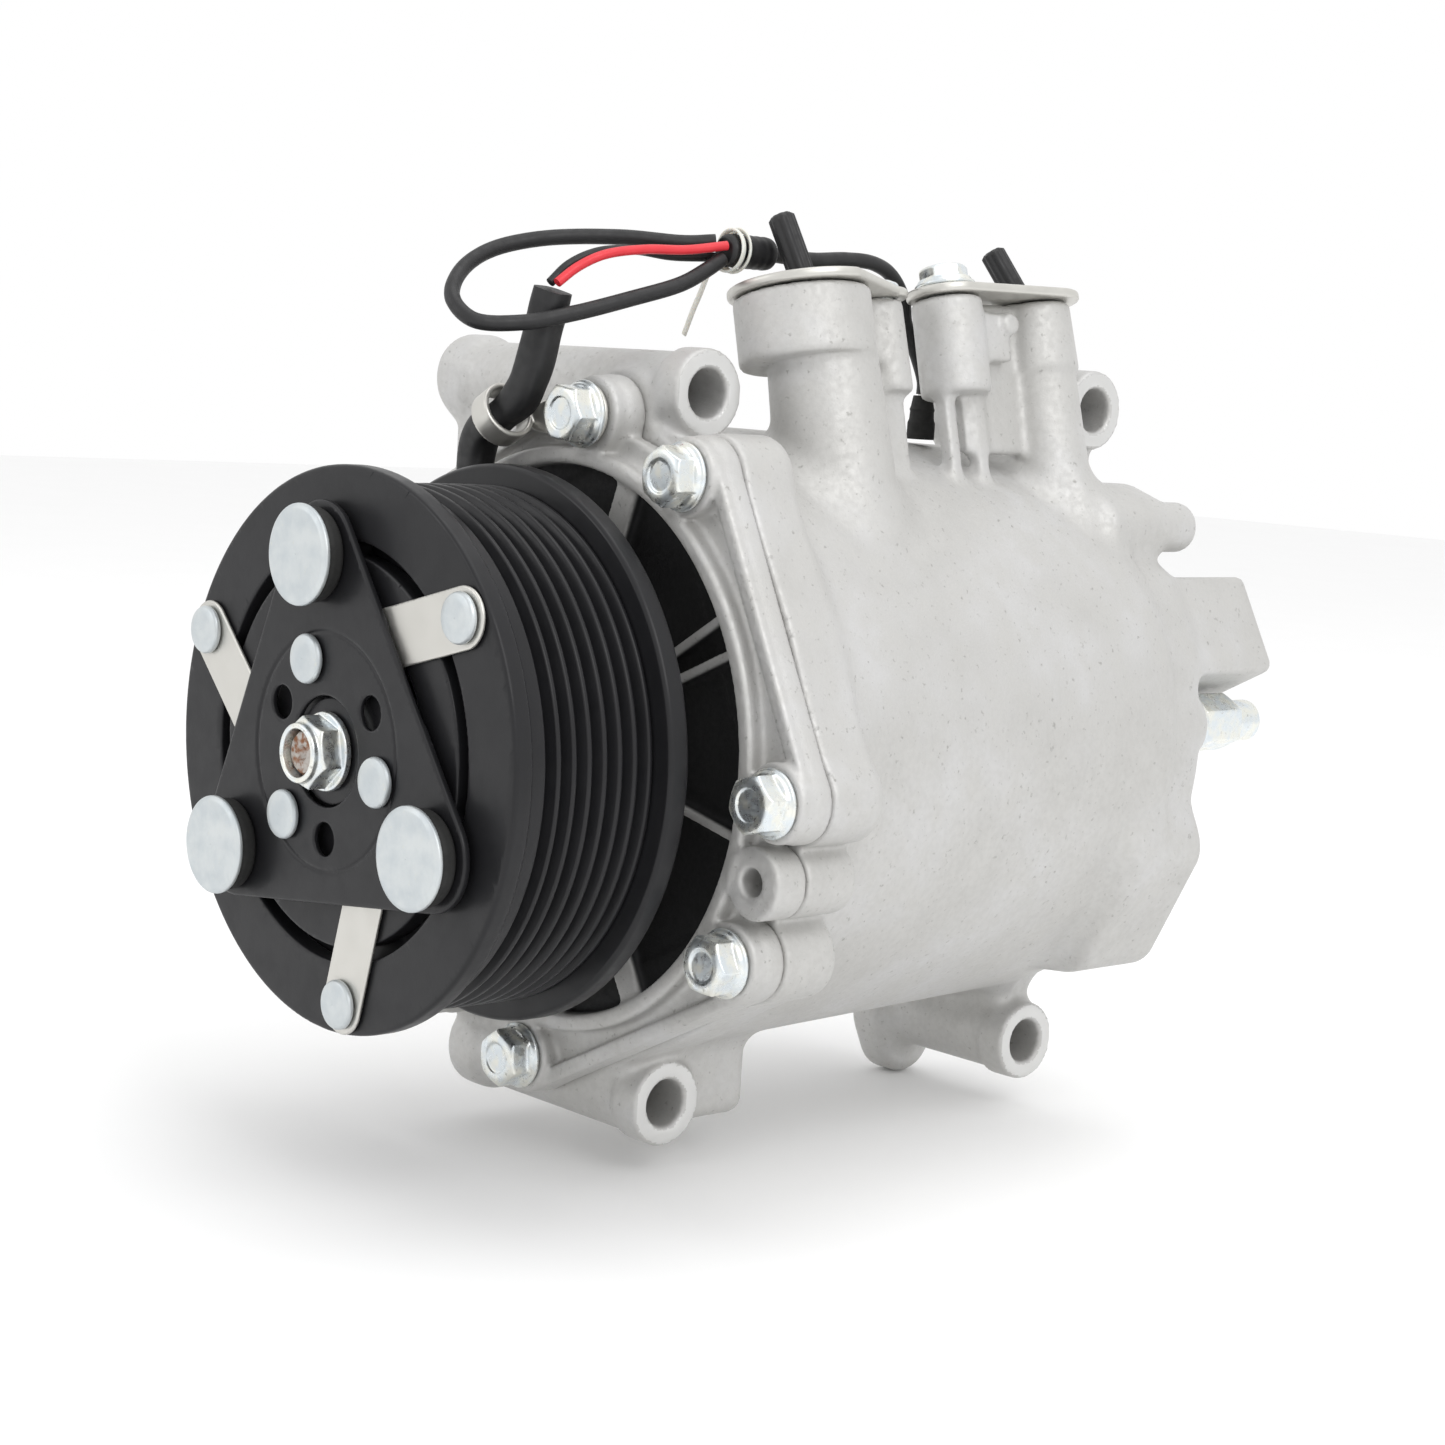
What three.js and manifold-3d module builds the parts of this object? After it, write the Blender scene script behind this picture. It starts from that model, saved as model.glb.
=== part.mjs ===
// Belt-driven scroll compressor for a car's air conditioning, with its magnetic clutch, as it is shipped.
// Millimetres, +Z up. The shaft lies along Y, with the clutch at the front (-Y) and the casing's closed end
// at the back (+Y). The origin is on the shaft's axis, in the plane of the two front mounting bolts,
// which run along X.
import * as THREE from "three";
import { mergeVertices } from "three/addons/utils/BufferGeometryUtils.js";
import Module from "manifold-3d";

const wasm = await Module();
wasm.setup();

// ---------------------------------------------------------------- driving dimensions
const GAP = 0.3; // between two pieces that touch on the real machine
const DEG = Math.PI / 180;

const ARMATURE_FACE_Y = -67; // front face of the clutch's armature plate
const SEAT_Y = -16.4; // front face of the front housing's flange, under the bolt heads
const PARTING_Y = -9; // back face of that flange, where the two housings meet
const BARREL_END_Y = 106; // the main housing's barrel steps in here
const REAR_Y = 119; // closed end of the main housing

const RIB_PITCH = 3.56; // standard multi-rib belt
const RIB_COUNT = 7;
const CREST_R = 50.1; // outside of the belt track
const PULLEY_FLANGE_R = 54.2; // guard flange behind the belt
const ARMATURE_R = 53.2;
const NOSE_R = 20; // front housing's nose, which carries the pulley's bearing
const DISH_R = 54.7; // recess in the front housing, behind the pulley

const BARREL_FRONT_R = 64;
const BARREL_REAR_R = 60.5;
const BORE_R = 56; // inside of the main housing
const BOLT_CIRCLE_R = 65;
const BOLT_LOBE_R = 7.6;
const BOLT_ANGLES = [83.6, 56.8, -2.6, -32, -93.3, -122, 177, 148];
const PLAIN_HOLE_ANGLE = -17;

const LUG_FACE_X = 23; // the four mounting lugs start in one plane
const LUG_R = 8.7;
const LUG_HOLE_R = 4.8;
const LUG_Z = 71;
const LUGS = [
  { y: 0, z: LUG_Z - 1, end: -54 },
  { y: 0, z: -LUG_Z, end: -38.5 },
  { y: 115.8, z: LUG_Z, end: -24 },
  { y: 108.3, z: -LUG_Z, end: -24 },
];

// The two hose ports, given upright: both then lean towards -X, about one line along Y.
const PORT_LEAN = 14;
const PORT_PIVOT = { x: 20, z: 84 };
const SUCTION = { x: 20.5, y: 28, top: 90.6, hole: 7.5, boltX: 20, boltY: 50 };
const DISCHARGE = { x: 19.5, y: 98, top: 92.6, hole: 5.5, boltX: 19.5, boltY: 71 };

const VALVE = { x: 48.5, z: 4.2 }; // relief valve's axis, on the closed end

const CRANK_OFFSET = 4.8; // the orbiting scroll's centre, above the shaft's axis at rest
const SCROLL_BASE = { front: 13, back: 19.5 };
const WRAP_HEIGHT = 28;
const WRAP_THICKNESS = 3.4;
const INVOLUTE_R = 9 / Math.PI; // radius of the circle that the wraps unwind from

const BUMPER_ANGLE = 97; // the first of the clutch hub's three corners
const BUMPER_CIRCLE_R = 36.5;
const HUB_RIVET_ANGLE = 109.5;
const HUB_RIVET_CIRCLE_R = 17.7;
const STRAP_RIVET_ANGLE = 37.5;
const STRAP_RIVET_CIRCLE_R = 47.2;
const RIVET_HOLE_R = 2.6;

// ---------------------------------------------------------------- materials
const paint = (color, roughness, metalness) =>
  new THREE.MeshStandardMaterial({ color, roughness, metalness });
const CAST_ALUMINIUM = paint(0xc9c9c6, 0.55, 0.6);
const BLACK_STEEL = paint(0x1b1b1d, 0.4, 0.3);
const ZINC_STEEL = paint(0xc8ccce, 0.3, 0.9);
const BRIGHT_STEEL = paint(0xd2d0ca, 0.25, 0.9);
const BEARING_STEEL = paint(0x9a9ca0, 0.25, 0.95);
const BLACK_RUBBER = paint(0x161616, 0.8, 0);
const BLACK_PLASTIC = paint(0x1c1c1e, 0.55, 0);
const RED_PLASTIC = paint(0xc8202a, 0.5, 0);
const WHITE_PLASTIC = paint(0xe6e2d6, 0.6, 0);
const COIL_RESIN = paint(0x5a3a24, 0.6, 0);

// ---------------------------------------------------------------- solids
function solidOf(geometry) {
  geometry.deleteAttribute("normal");
  geometry.deleteAttribute("uv");
  const merged = mergeVertices(geometry, 1e-4);
  const mesh = new wasm.Mesh({
    numProp: 3,
    vertProperties: merged.attributes.position.array,
    triVerts: new Uint32Array(merged.index.array),
  });
  return new wasm.Manifold(mesh);
}

const join = (...solids) => solids.reduce((all, next) => all.add(next));
const cut = (body, ...tools) => tools.reduce((left, tool) => left.subtract(tool), body);

// Turned about the shaft's axis: points are [radius, y], and a profile off the axis closes on itself.
function turned(profile, segments = 28) {
  let doubleArea = 0;
  profile.forEach(([r, y], i) => {
    const [nextR, nextY] = profile[(i + 1) % profile.length];
    doubleArea += r * nextY - nextR * y;
  });
  const ordered = doubleArea > 0 ? [...profile] : [...profile].reverse();
  const onAxis = ordered.findIndex(([r], i) => r === 0 && ordered[(i + 1) % ordered.length][0] !== 0);
  if (onAxis >= 0) ordered.push(...ordered.splice(0, onAxis));
  else ordered.push(ordered[0]);
  return solidOf(new THREE.LatheGeometry(ordered.map(([r, y]) => new THREE.Vector2(r, y)), segments));
}

const ring = (inner, outer, y0, y1, segments) =>
  turned([[inner, y0], [outer, y0], [outer, y1], [inner, y1]], segments);

function cylinder(axis, radius, from, to, a, b, segments = 20, endRadius = radius) {
  const geometry = new THREE.CylinderGeometry(endRadius, radius, to - from, segments);
  const middle = (from + to) / 2;
  if (axis === "x") geometry.rotateZ(-90 * DEG).translate(middle, a, b);
  if (axis === "y") geometry.translate(a, middle, b);
  if (axis === "z") geometry.rotateX(90 * DEG).translate(a, b, middle);
  return solidOf(geometry);
}

function box(x0, x1, y0, y1, z0, z1) {
  const geometry = new THREE.BoxGeometry(x1 - x0, y1 - y0, z1 - z0);
  return solidOf(geometry.translate((x0 + x1) / 2, (y0 + y1) / 2, (z0 + z1) / 2));
}

// A solid of the upright ports, leaned as they are.
function leaned(solid) {
  const { x, z } = PORT_PIVOT;
  return solid.translate([-x, 0, -z]).rotate([0, -PORT_LEAN, 0]).translate([x, 0, z]);
}

const polar = (radius, degrees) => [radius * Math.cos(degrees * DEG), radius * Math.sin(degrees * DEG)];
const thirds = [0, 120, 240];

// An outline in the X-Z plane, made solid from y0 to y1.
function plateXZ(shape, y0, y1, curveSegments = 6) {
  const geometry = new THREE.ExtrudeGeometry(shape, {
    depth: y1 - y0,
    bevelEnabled: false,
    curveSegments,
    steps: 1,
  });
  return solidOf(geometry.rotateX(90 * DEG).translate(0, y1, 0));
}

// An outline in the X-Y plane, made solid from z0 to z1.
function plateXY(shape, z0, z1, curveSegments = 8) {
  const geometry = new THREE.ExtrudeGeometry(shape, {
    depth: z1 - z0,
    bevelEnabled: false,
    curveSegments,
    steps: 1,
  });
  return solidOf(geometry.translate(0, 0, z0));
}

// A bar with round ends about two centres.
function barShape([ax, ay], [bx, by], startR, endR = startR) {
  const along = Math.atan2(by - ay, bx - ax);
  const lean = Math.acos((startR - endR) / Math.hypot(bx - ax, by - ay));
  const shape = new THREE.Shape();
  shape.absarc(ax, ay, startR, along + lean, along - lean + 2 * Math.PI, false);
  shape.absarc(bx, by, endR, along - lean, along + lean, false);
  return shape;
}

// A round cord or tube with flat ends along a smooth curve through the points.
function tubeAlong(points, radius, sides, steps) {
  const curve = new THREE.CatmullRomCurve3(points.map((p) => new THREE.Vector3(...p)), false, "centripetal");
  const section = new THREE.Shape();
  for (let i = 0; i < sides; i++) {
    const turn = (2 * Math.PI * i) / sides;
    section[i ? "lineTo" : "moveTo"](radius * Math.cos(turn), radius * Math.sin(turn));
  }
  return solidOf(new THREE.ExtrudeGeometry(section, { steps, extrudePath: curve, bevelEnabled: false }));
}

const compressor = new THREE.Group();

function addPiece(name, solid, material) {
  const made = solid.getMesh();
  const geometry = new THREE.BufferGeometry();
  geometry.setAttribute("position", new THREE.BufferAttribute(new Float32Array(made.vertProperties), 3));
  geometry.setIndex(new THREE.BufferAttribute(new Uint32Array(made.triVerts), 1));
  geometry.computeVertexNormals();
  const mesh = new THREE.Mesh(geometry, material);
  mesh.name = name;
  compressor.add(mesh);
}

// ---------------------------------------------------------------- the two housings
const boltCentres = BOLT_ANGLES.map((angle) => polar(BOLT_CIRCLE_R, angle));
const FAR_APART_BOLTS = [[1, 2], [3, 4], [5, 6], [7, 0]]; // the flange's edge runs straight between these

// The flange's straight edge between two bolt lobes, as a slab that reaches in to the disc.
function straightEdge([ax, az], [bx, bz], y0, y1, inner = 0) {
  const length = Math.hypot(bx - ax, bz - az);
  const side = Math.sign(ax * bz - az * bx);
  const outX = (side * (bz - az)) / length;
  const outZ = (-side * (bx - ax)) / length;
  const out = (x, z, by) => [x + outX * by, z + outZ * by];
  const outline = [out(ax, az, inner), out(bx, bz, inner), out(bx, bz, BOLT_LOBE_R), out(ax, az, BOLT_LOBE_R)];
  return plateXZ(new THREE.Shape(outline.map(([x, z]) => new THREE.Vector2(x, z))), y0, y1);
}

// The round lobes about the bolts and the plain hole.
function lobes(y0, y1) {
  const [holeX, holeZ] = polar(BOLT_CIRCLE_R - 1.5, PLAIN_HOLE_ANGLE);
  const round = boltCentres.map(([x, z]) => cylinder("y", BOLT_LOBE_R, y0, y1, x, z, 12));
  return join(...round, cylinder("y", BOLT_LOBE_R - 0.6, y0, y1, holeX, holeZ, 12));
}

// The flange that both housings share: a disc with a lobe at each bolt, and straight edges between some.
function flange(y0, y1, lobeY0 = y0) {
  const disc = cylinder("y", BARREL_FRONT_R - 1.5, y0, y1, 0, 0, 28);
  const edges = FAR_APART_BOLTS.map(([a, b]) => straightEdge(boltCentres[a], boltCentres[b], y0, y1));
  return join(disc, ...edges, lobes(lobeY0, y1));
}

function holesAtBolts(radius, y0, y1) {
  const [holeX, holeZ] = polar(BOLT_CIRCLE_R - 2, PLAIN_HOLE_ANGLE);
  const holes = boltCentres.map(([x, z]) => cylinder("y", radius, y0, y1, x, z, 8));
  return join(...holes, cylinder("y", 2.6, y0, y1, holeX, holeZ, 8));
}

const THIN_FLANGE_Y = -12.5; // front of the flange between its lobes
const RAIL_Y = -15.2; // front of the rail along the flange's straight edges
const RAIL_WIDTH = 3.2;
const DISH_FLOOR_Y = -6.8;
const SPIGOT_BACK_Y = -3;
const SPIGOT_R = BORE_R - 0.5;
const CAVITY_R = 32; // room for the counterweight

function frontHousing() {
  const nose = turned([
    [9.5, -46.5], [14.5, -46.5], [14.5, -57.5], [NOSE_R, -57.5], [NOSE_R, -30], [33, -30], [33, -22],
    [36, DISH_FLOOR_Y - 2], [38, DISH_FLOOR_Y], [50, DISH_FLOOR_Y], [51.5, DISH_FLOOR_Y - 1.5],
    [DISH_R, THIN_FLANGE_Y], [DISH_R + 2, THIN_FLANGE_Y], [DISH_R + 2, PARTING_Y],
    [SPIGOT_R, PARTING_Y], [SPIGOT_R, SPIGOT_BACK_Y], [CAVITY_R, SPIGOT_BACK_Y], [CAVITY_R, -6.2],
    [26, -6.2], [26, -20.5], [15, -20.5], [15, -34], [9.5, -34],
  ]);
  const rim = cylinder("y", DISH_R + 3.4, SEAT_Y, PARTING_Y, 0, 0, 28);
  const rails = FAR_APART_BOLTS.map(([a, b]) =>
    straightEdge(boltCentres[a], boltCentres[b], RAIL_Y, PARTING_Y, BOLT_LOBE_R - RAIL_WIDTH));
  const plate = cut(
    join(rim, flange(THIN_FLANGE_Y, PARTING_Y, SEAT_Y), ...rails),
    cylinder("y", DISH_R, SEAT_Y - 1, PARTING_Y + 1, 0, 0, 28),
    holesAtBolts(3.4, SEAT_Y - 1, PARTING_Y + 1));
  return join(plate, nose, dishRibs());
}

// Radial walls across the dish, between the nose's shoulder and the flange.
function dishRibs() {
  const wall = (angle, width) =>
    box(32, DISH_R + 1, SEAT_Y + 1.4, DISH_FLOOR_Y + 1, -width / 2, width / 2).rotate([0, -angle, 0]);
  const thin = [32, 24.5, -12, -84, 150, 210].map((angle) => wall(angle, 1.8));
  const clear = ring(SPIGOT_R - 0.5, DISH_R + 8, PARTING_Y - GAP, 0, 28);
  return cut(join(...thin, wall(71, 6), wall(-60, 6)), clear);
}

// One mounting lug: a long tube along X on a web that reaches down into the barrel.
function lug({ y, z, end }) {
  const tube = cylinder("x", LUG_R, end, LUG_FACE_X, y, z, 16);
  const root = z > 0 ? [38, z] : [z, -38];
  const web = box(end + 3, LUG_FACE_X - 3, y - 5.2, y + 5.2, ...root);
  return join(tube, web);
}

function suctionPort() {
  const { x, y, top, boltX, boltY } = SUCTION;
  return leaned(join(
    cylinder("z", 11.5, 40, 78, x + 1, y + 2, 18),
    cylinder("z", 14, 77, top, x, y - 1, 20),
    cylinder("z", 4.9, 71.5, top, boltX, boltY, 12),
    box(17, 23, y + 8, boltY, 78, top),
    box(18.6, 21.4, boltY - 6, boltY + 3.2, 50, 74)));
}

function dischargePort() {
  const { x, y, top, boltX, boltY } = DISCHARGE;
  return leaned(join(
    cylinder("z", 8.2, 40, 80, x, y, 16),
    cylinder("z", 8.9, 77.5, top, x, y, 16, 8.2),
    cylinder("z", 7.5, 72, top, boltX, boltY, 16),
    box(x - 1.4, x + 1.4, boltY, y, 70, top),
    box(x - 1.2, x + 1.2, boltY - 6, boltY - 2.5, 50, 74),
    box(x - 1.2, x + 1.2, boltY + 2, boltY + 6, 50, 74)));
}

// Pads, a boss for the relief valve and a filler knob on the closed end.
function rearBosses() {
  const boss = box(38, 56.6, 100, 146, -11.5, 11.5).rotate([0, -28, 0]);
  return join(
    boss,
    cylinder("y", 5.5, 100, 130, 38, 46.5, 14),
    cylinder("y", 9, 96, REAR_Y + 1, 30.5, 46.5, 16),
    plateXZ(barShape([53, -22], [42, -42], 7, 8), 96, REAR_Y, 4),
    cylinder("y", 8, 100, REAR_Y + 3, VALVE.x, VALVE.z, 16),
    cylinder("y", 20, 112, REAR_Y + 4, 0, 0, 20));
}

function mainHousing() {
  const barrel = turned([
    [0, REAR_Y], [0, PARTING_Y + GAP], [BARREL_FRONT_R, PARTING_Y + GAP], [BARREL_FRONT_R, 0],
    [BARREL_REAR_R + 0.6, BARREL_END_Y - 4], [BARREL_REAR_R - 2, BARREL_END_Y + 1], [58, REAR_Y - 4],
    [53, REAR_Y],
  ]);
  const cavity = turned([
    [0, PARTING_Y - 1], [BORE_R, PARTING_Y - 1], [BORE_R, 60], [BORE_R - 3, 62],
    [BORE_R - 3, 108], [48, 112], [0, 112],
  ]);
  const cast = join(
    barrel, flange(PARTING_Y + GAP, 4.5), ...LUGS.map(lug),
    suctionPort(), dischargePort(), rearBosses(), frontFoot(), rearFoot());
  const lugHoles = LUGS.map(({ y, z, end }) =>
    cylinder("x", LUG_HOLE_R, end - 1, LUG_FACE_X + 1, y, z, 12));
  return cut(
    cast, cavity, ...lugHoles, holesAtBolts(3.3, PARTING_Y - 1, 3.5), portHoles(SUCTION, 3.2),
    portHoles(DISCHARGE, 4.2),
    cylinder("y", 4.3, 108, REAR_Y + 4, VALVE.x, VALVE.z, 12));
}

// A port's gas passage, down into the casing, and the blind hole for its cover's screw.
function portHoles({ x, y, top, hole, boltX, boltY }, screwR) {
  return leaned(join(
    cylinder("z", hole, 40, top + 1, x, y, 16), cylinder("z", screwR, 78, top + 1, boltX, boltY, 12)));
}

// The gusset behind the lower front lug.
function frontFoot() {
  const shape = barShape([0, -66], [18.5, -70], 8, 7.5);
  const geometry = new THREE.ExtrudeGeometry(shape, { depth: 17, bevelEnabled: false, curveSegments: 5 });
  const foot = geometry.rotateX(90 * DEG).rotateZ(90 * DEG);
  return join(solidOf(foot.translate(2, 0, 0)), box(2, 19, 0, 24, -68, -40));
}

// The pad that hangs below the far end of the lower rear lug.
function rearFoot() {
  const { y, z, end } = LUGS[3];
  return cylinder("x", LUG_R, end + 2, end + 11, y, z - 6.6, 16);
}

addPiece("front_housing", frontHousing(), CAST_ALUMINIUM);
addPiece("main_housing", mainHousing(), CAST_ALUMINIUM);

const CLIP_THICKNESS = 1;

// A hexagon head on a round flange, pointing forwards, with its shank in the housing.
function housingBolt([x, z], seatY) {
  const shank = cylinder("y", 3, seatY - 2, 2.5, x, z, 6);
  const washer = cylinder("y", 6.6, seatY - GAP - 1.5, seatY - GAP, x, z, 12);
  const head = cylinder("y", 5.7, seatY - GAP - 6.1, seatY - GAP - 1, x, z, 6);
  return join(shank, washer, head);
}

boltCentres.forEach((centre, i) => {
  const seatY = i === 0 ? SEAT_Y - CLIP_THICKNESS - GAP : SEAT_Y;
  addPiece(`housing_bolt_${i + 1}`, housingBolt(centre, seatY), ZINC_STEEL);
});

// ---------------------------------------------------------------- pulley, its bearing and the coil
const PULLEY_FRONT_Y = ARMATURE_FACE_Y + 4.8;
const FIRST_CREST_Y = ARMATURE_FACE_Y + 8.75;
const PULLEY_BACK_Y = -27.5;
const CREST_WIDTH = 0.9;
const GROOVE_DEPTH = 2.7;

function pulley() {
  const track = [];
  for (let i = 0; i < RIB_COUNT; i++) {
    const crest = FIRST_CREST_Y + i * RIB_PITCH;
    const floor = crest + RIB_PITCH / 2;
    track.push([CREST_R, crest + CREST_WIDTH / 2]);
    track.push([CREST_R - GROOVE_DEPTH, floor]);
    track.push([CREST_R, crest + RIB_PITCH - CREST_WIDTH / 2]);
  }
  const lastCrest = FIRST_CREST_Y + RIB_COUNT * RIB_PITCH;
  return turned([
    [27, PULLEY_FRONT_Y], [CREST_R - 0.7, PULLEY_FRONT_Y], [CREST_R, PULLEY_FRONT_Y + 0.7],
    ...track,
    [CREST_R, lastCrest + CREST_WIDTH / 2], [CREST_R - 1.5, lastCrest + 0.9],
    [PULLEY_FLANGE_R - 0.6, lastCrest + 1.1], [PULLEY_FLANGE_R, lastCrest + 1.8],
    [PULLEY_FLANGE_R, PULLEY_BACK_Y - 0.6], [PULLEY_FLANGE_R - 0.6, PULLEY_BACK_Y],
    [44.9, PULLEY_BACK_Y], [44.9, -56.9], [35.2, -56.9], [35.2, -35.3], [31.2, -35.3],
    [31.2, -56.9], [27, -56.9],
  ], 24);
}

function bearingBalls(pitchR, y, ballR, count) {
  const cage = ring(pitchR - 0.6, pitchR + 0.6, y - 2, y + 2, 24);
  const balls = Array.from({ length: count }, (_, i) => {
    const [x, z] = polar(pitchR, (360 * i) / count);
    return solidOf(new THREE.SphereGeometry(ballR, 6, 3).translate(x, y, z));
  });
  return join(cage, ...balls);
}

addPiece("pulley", pulley(), BLACK_STEEL);
addPiece("pulley_bearing_outer", turned([
  [28.6, -55.6], [30.8, -55.6], [30.8, -35.6], [28.6, -35.6],
], 24), BEARING_STEEL);
addPiece("pulley_bearing_balls", bearingBalls(25.7, -45.6, 2.5, 8), BEARING_STEEL);
addPiece("pulley_bearing_inner", turned([
  [20.3, -55.6], [22.8, -55.6], [22.8, -35.6], [20.3, -35.6],
], 24), BEARING_STEEL);
addPiece("coil_snap_ring", cut(ring(20.3, 24, -34.3, -33.1, 24), box(-2, 2, -35, -32, 15, 25)), BRIGHT_STEEL);
const coilTerminal = cylinder("y", 3.4, -31, -28.4, -14.5, 37, 12);
const coilBody = turned([
  [20.4, -32.6], [36.4, -32.6], [36.4, -53], [38.2, -53], [38.2, -34.5], [42.2, -34.5], [42.2, -53],
  [44, -53], [44, -30.3], [20.4, -30.3],
], 24);
addPiece("coil_shell", join(coilBody, coilTerminal), BLACK_STEEL);
addPiece("coil_winding", ring(38.6, 41.7, -52.4, -34.8, 24), COIL_RESIN);

// ---------------------------------------------------------------- clutch hub and armature
const PLATE = { front: ARMATURE_FACE_Y - 3, back: ARMATURE_FACE_Y - 1.4 };
const STRAP = { front: ARMATURE_FACE_Y - 1.1, back: ARMATURE_FACE_Y - GAP };
const ARMATURE_BACK_Y = ARMATURE_FACE_Y + 4.2;
const HUB_FLANGE_BACK_Y = ARMATURE_FACE_Y + 2;
const BOSS_FRONT_Y = ARMATURE_FACE_Y - 1.6;

const holesOnCircle = (circleR, angle, radius, y0, y1) =>
  join(...thirds.map((turn) => {
    const [x, z] = polar(circleR, angle + turn);
    return cylinder("y", radius, y0, y1, x, z, 10);
  }));

function clutchHub() {
  const body = turned([
    [6.3, BOSS_FRONT_Y], [10, BOSS_FRONT_Y], [10, ARMATURE_FACE_Y], [22, ARMATURE_FACE_Y],
    [22, HUB_FLANGE_BACK_Y], [10, HUB_FLANGE_BACK_Y], [10, -58.2], [6.3, -58.2],
  ], 24);
  return cut(body, holesOnCircle(HUB_RIVET_CIRCLE_R, HUB_RIVET_ANGLE, RIVET_HOLE_R, -70, -60));
}

// The black three-cornered plate: a round lobe about each bumper, joined by straight sides.
function hubPlate() {
  const cornerR = 10.2;
  const outline = new THREE.Shape();
  thirds.forEach((turn) => {
    const angle = BUMPER_ANGLE + turn;
    const [x, z] = polar(BUMPER_CIRCLE_R, angle);
    outline.absarc(x, z, cornerR, (angle - 60) * DEG, (angle + 60) * DEG, false);
  });
  outline.closePath();
  const { front, back } = PLATE;
  return cut(
    plateXZ(outline, front, back, 10),
    cylinder("y", 10.4, front - 1, back + 1, 0, 0, 20),
    holesOnCircle(16.4, 33, 3.2, front - 1, back + 1),
    holesOnCircle(HUB_RIVET_CIRCLE_R, HUB_RIVET_ANGLE, RIVET_HOLE_R, front - 1, back + 1),
    holesOnCircle(BUMPER_CIRCLE_R, BUMPER_ANGLE, 3.4, front - 1, back + 1));
}

function armature() {
  const body = turned([
    [26.5, ARMATURE_FACE_Y], [ARMATURE_R - 0.6, ARMATURE_FACE_Y], [ARMATURE_R, ARMATURE_FACE_Y + 0.6],
    [ARMATURE_R, ARMATURE_BACK_Y - 0.4], [ARMATURE_R - 0.4, ARMATURE_BACK_Y], [26.5, ARMATURE_BACK_Y],
  ], 32);
  const slots = thirds.map((turn) => {
    const middle = STRAP_RIVET_ANGLE + turn;
    const outline = new THREE.Shape();
    outline.absarc(0, 0, 39.6, (middle - 48) * DEG, (middle + 48) * DEG, false);
    outline.absarc(0, 0, 36.9, (middle + 48) * DEG, (middle - 48) * DEG, true);
    return plateXZ(outline, ARMATURE_FACE_Y - 1, ARMATURE_BACK_Y + 1, 7);
  });
  const rivetHoles = holesOnCircle(STRAP_RIVET_CIRCLE_R, STRAP_RIVET_ANGLE, RIVET_HOLE_R, -70, -60);
  return cut(body, ...slots, rivetHoles);
}

// A leaf spring from an outer rivet on the armature to an inner rivet on the hub.
function strap(turn) {
  const outer = polar(STRAP_RIVET_CIRCLE_R, STRAP_RIVET_ANGLE + turn);
  const inner = polar(HUB_RIVET_CIRCLE_R, HUB_RIVET_ANGLE + turn);
  const holes = [outer, inner].map(([x, z]) => cylinder("y", RIVET_HOLE_R, -70, -60, x, z, 10));
  return cut(plateXZ(barShape(outer, inner, 5.75), STRAP.front, STRAP.back, 6), ...holes);
}

function bumper(turn) {
  const [x, z] = polar(BUMPER_CIRCLE_R, BUMPER_ANGLE + turn);
  const top = ARMATURE_FACE_Y - 8.2;
  return join(
    cylinder("y", 9.5, top, top + 1.3, x, z, 24),
    cylinder("y", 8.7, top + 1, PLATE.front - GAP, x, z, 20),
    cylinder("y", 3, PLATE.front - 1, PLATE.back + 0.6, x, z, 10));
}

function rivet(circleR, angle, headFront, headBack, tail) {
  const [x, z] = polar(circleR, angle);
  return join(
    cylinder("y", 4.7, headFront, headBack, x, z, 16),
    cylinder("y", 2.2, headBack - 0.5, tail, x, z, 10));
}

addPiece("clutch_hub", clutchHub(), BLACK_STEEL);
addPiece("hub_plate", hubPlate(), BLACK_STEEL);
addPiece("armature", armature(), BLACK_STEEL);
thirds.forEach((turn, i) => {
  const n = i + 1;
  const hubRivetFront = PLATE.front - GAP - 1.6;
  const strapRivetFront = STRAP.front - GAP - 1.6;
  addPiece(`leaf_spring_${n}`, strap(turn), BRIGHT_STEEL);
  addPiece(`bumper_${n}`, bumper(turn), ZINC_STEEL);
  addPiece(`hub_rivet_${n}`, rivet(HUB_RIVET_CIRCLE_R, HUB_RIVET_ANGLE + turn, hubRivetFront,
    PLATE.front - GAP, HUB_FLANGE_BACK_Y + 0.8), ZINC_STEEL);
  addPiece(`leaf_rivet_${n}`, rivet(STRAP_RIVET_CIRCLE_R, STRAP_RIVET_ANGLE + turn, strapRivetFront,
    STRAP.front - GAP, ARMATURE_BACK_Y - 0.2), ZINC_STEEL);
});

function shaftNut() {
  const seat = BOSS_FRONT_Y - GAP;
  const bored = cylinder("y", 4.5, seat - 12, seat + 1, 0, 0, 16);
  const hexagon = cylinder("y", 6.9, seat - 7.4, seat - 1, 0, 0, 6);
  return cut(join(hexagon, cylinder("y", 7.45, seat - 1.5, seat, 0, 0, 24)), bored);
}
addPiece("shaft_nut", shaftNut(), ZINC_STEEL);

// ---------------------------------------------------------------- shaft, bearings and scrolls
function driveShaft() {
  const body = turned([
    [0, -74.8], [4.2, -74.8], [4.2, -68.3], [6, -68.3], [6, -57.6], [8, -57.6], [8, -23], [12.5, -23],
    [12.5, -6.3], [18, -6.3], [18, -2.6], [0, -2.6],
  ], 24);
  return join(body, cylinder("y", 9.7, -3, 11.5, 0, CRANK_OFFSET, 20));
}

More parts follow.
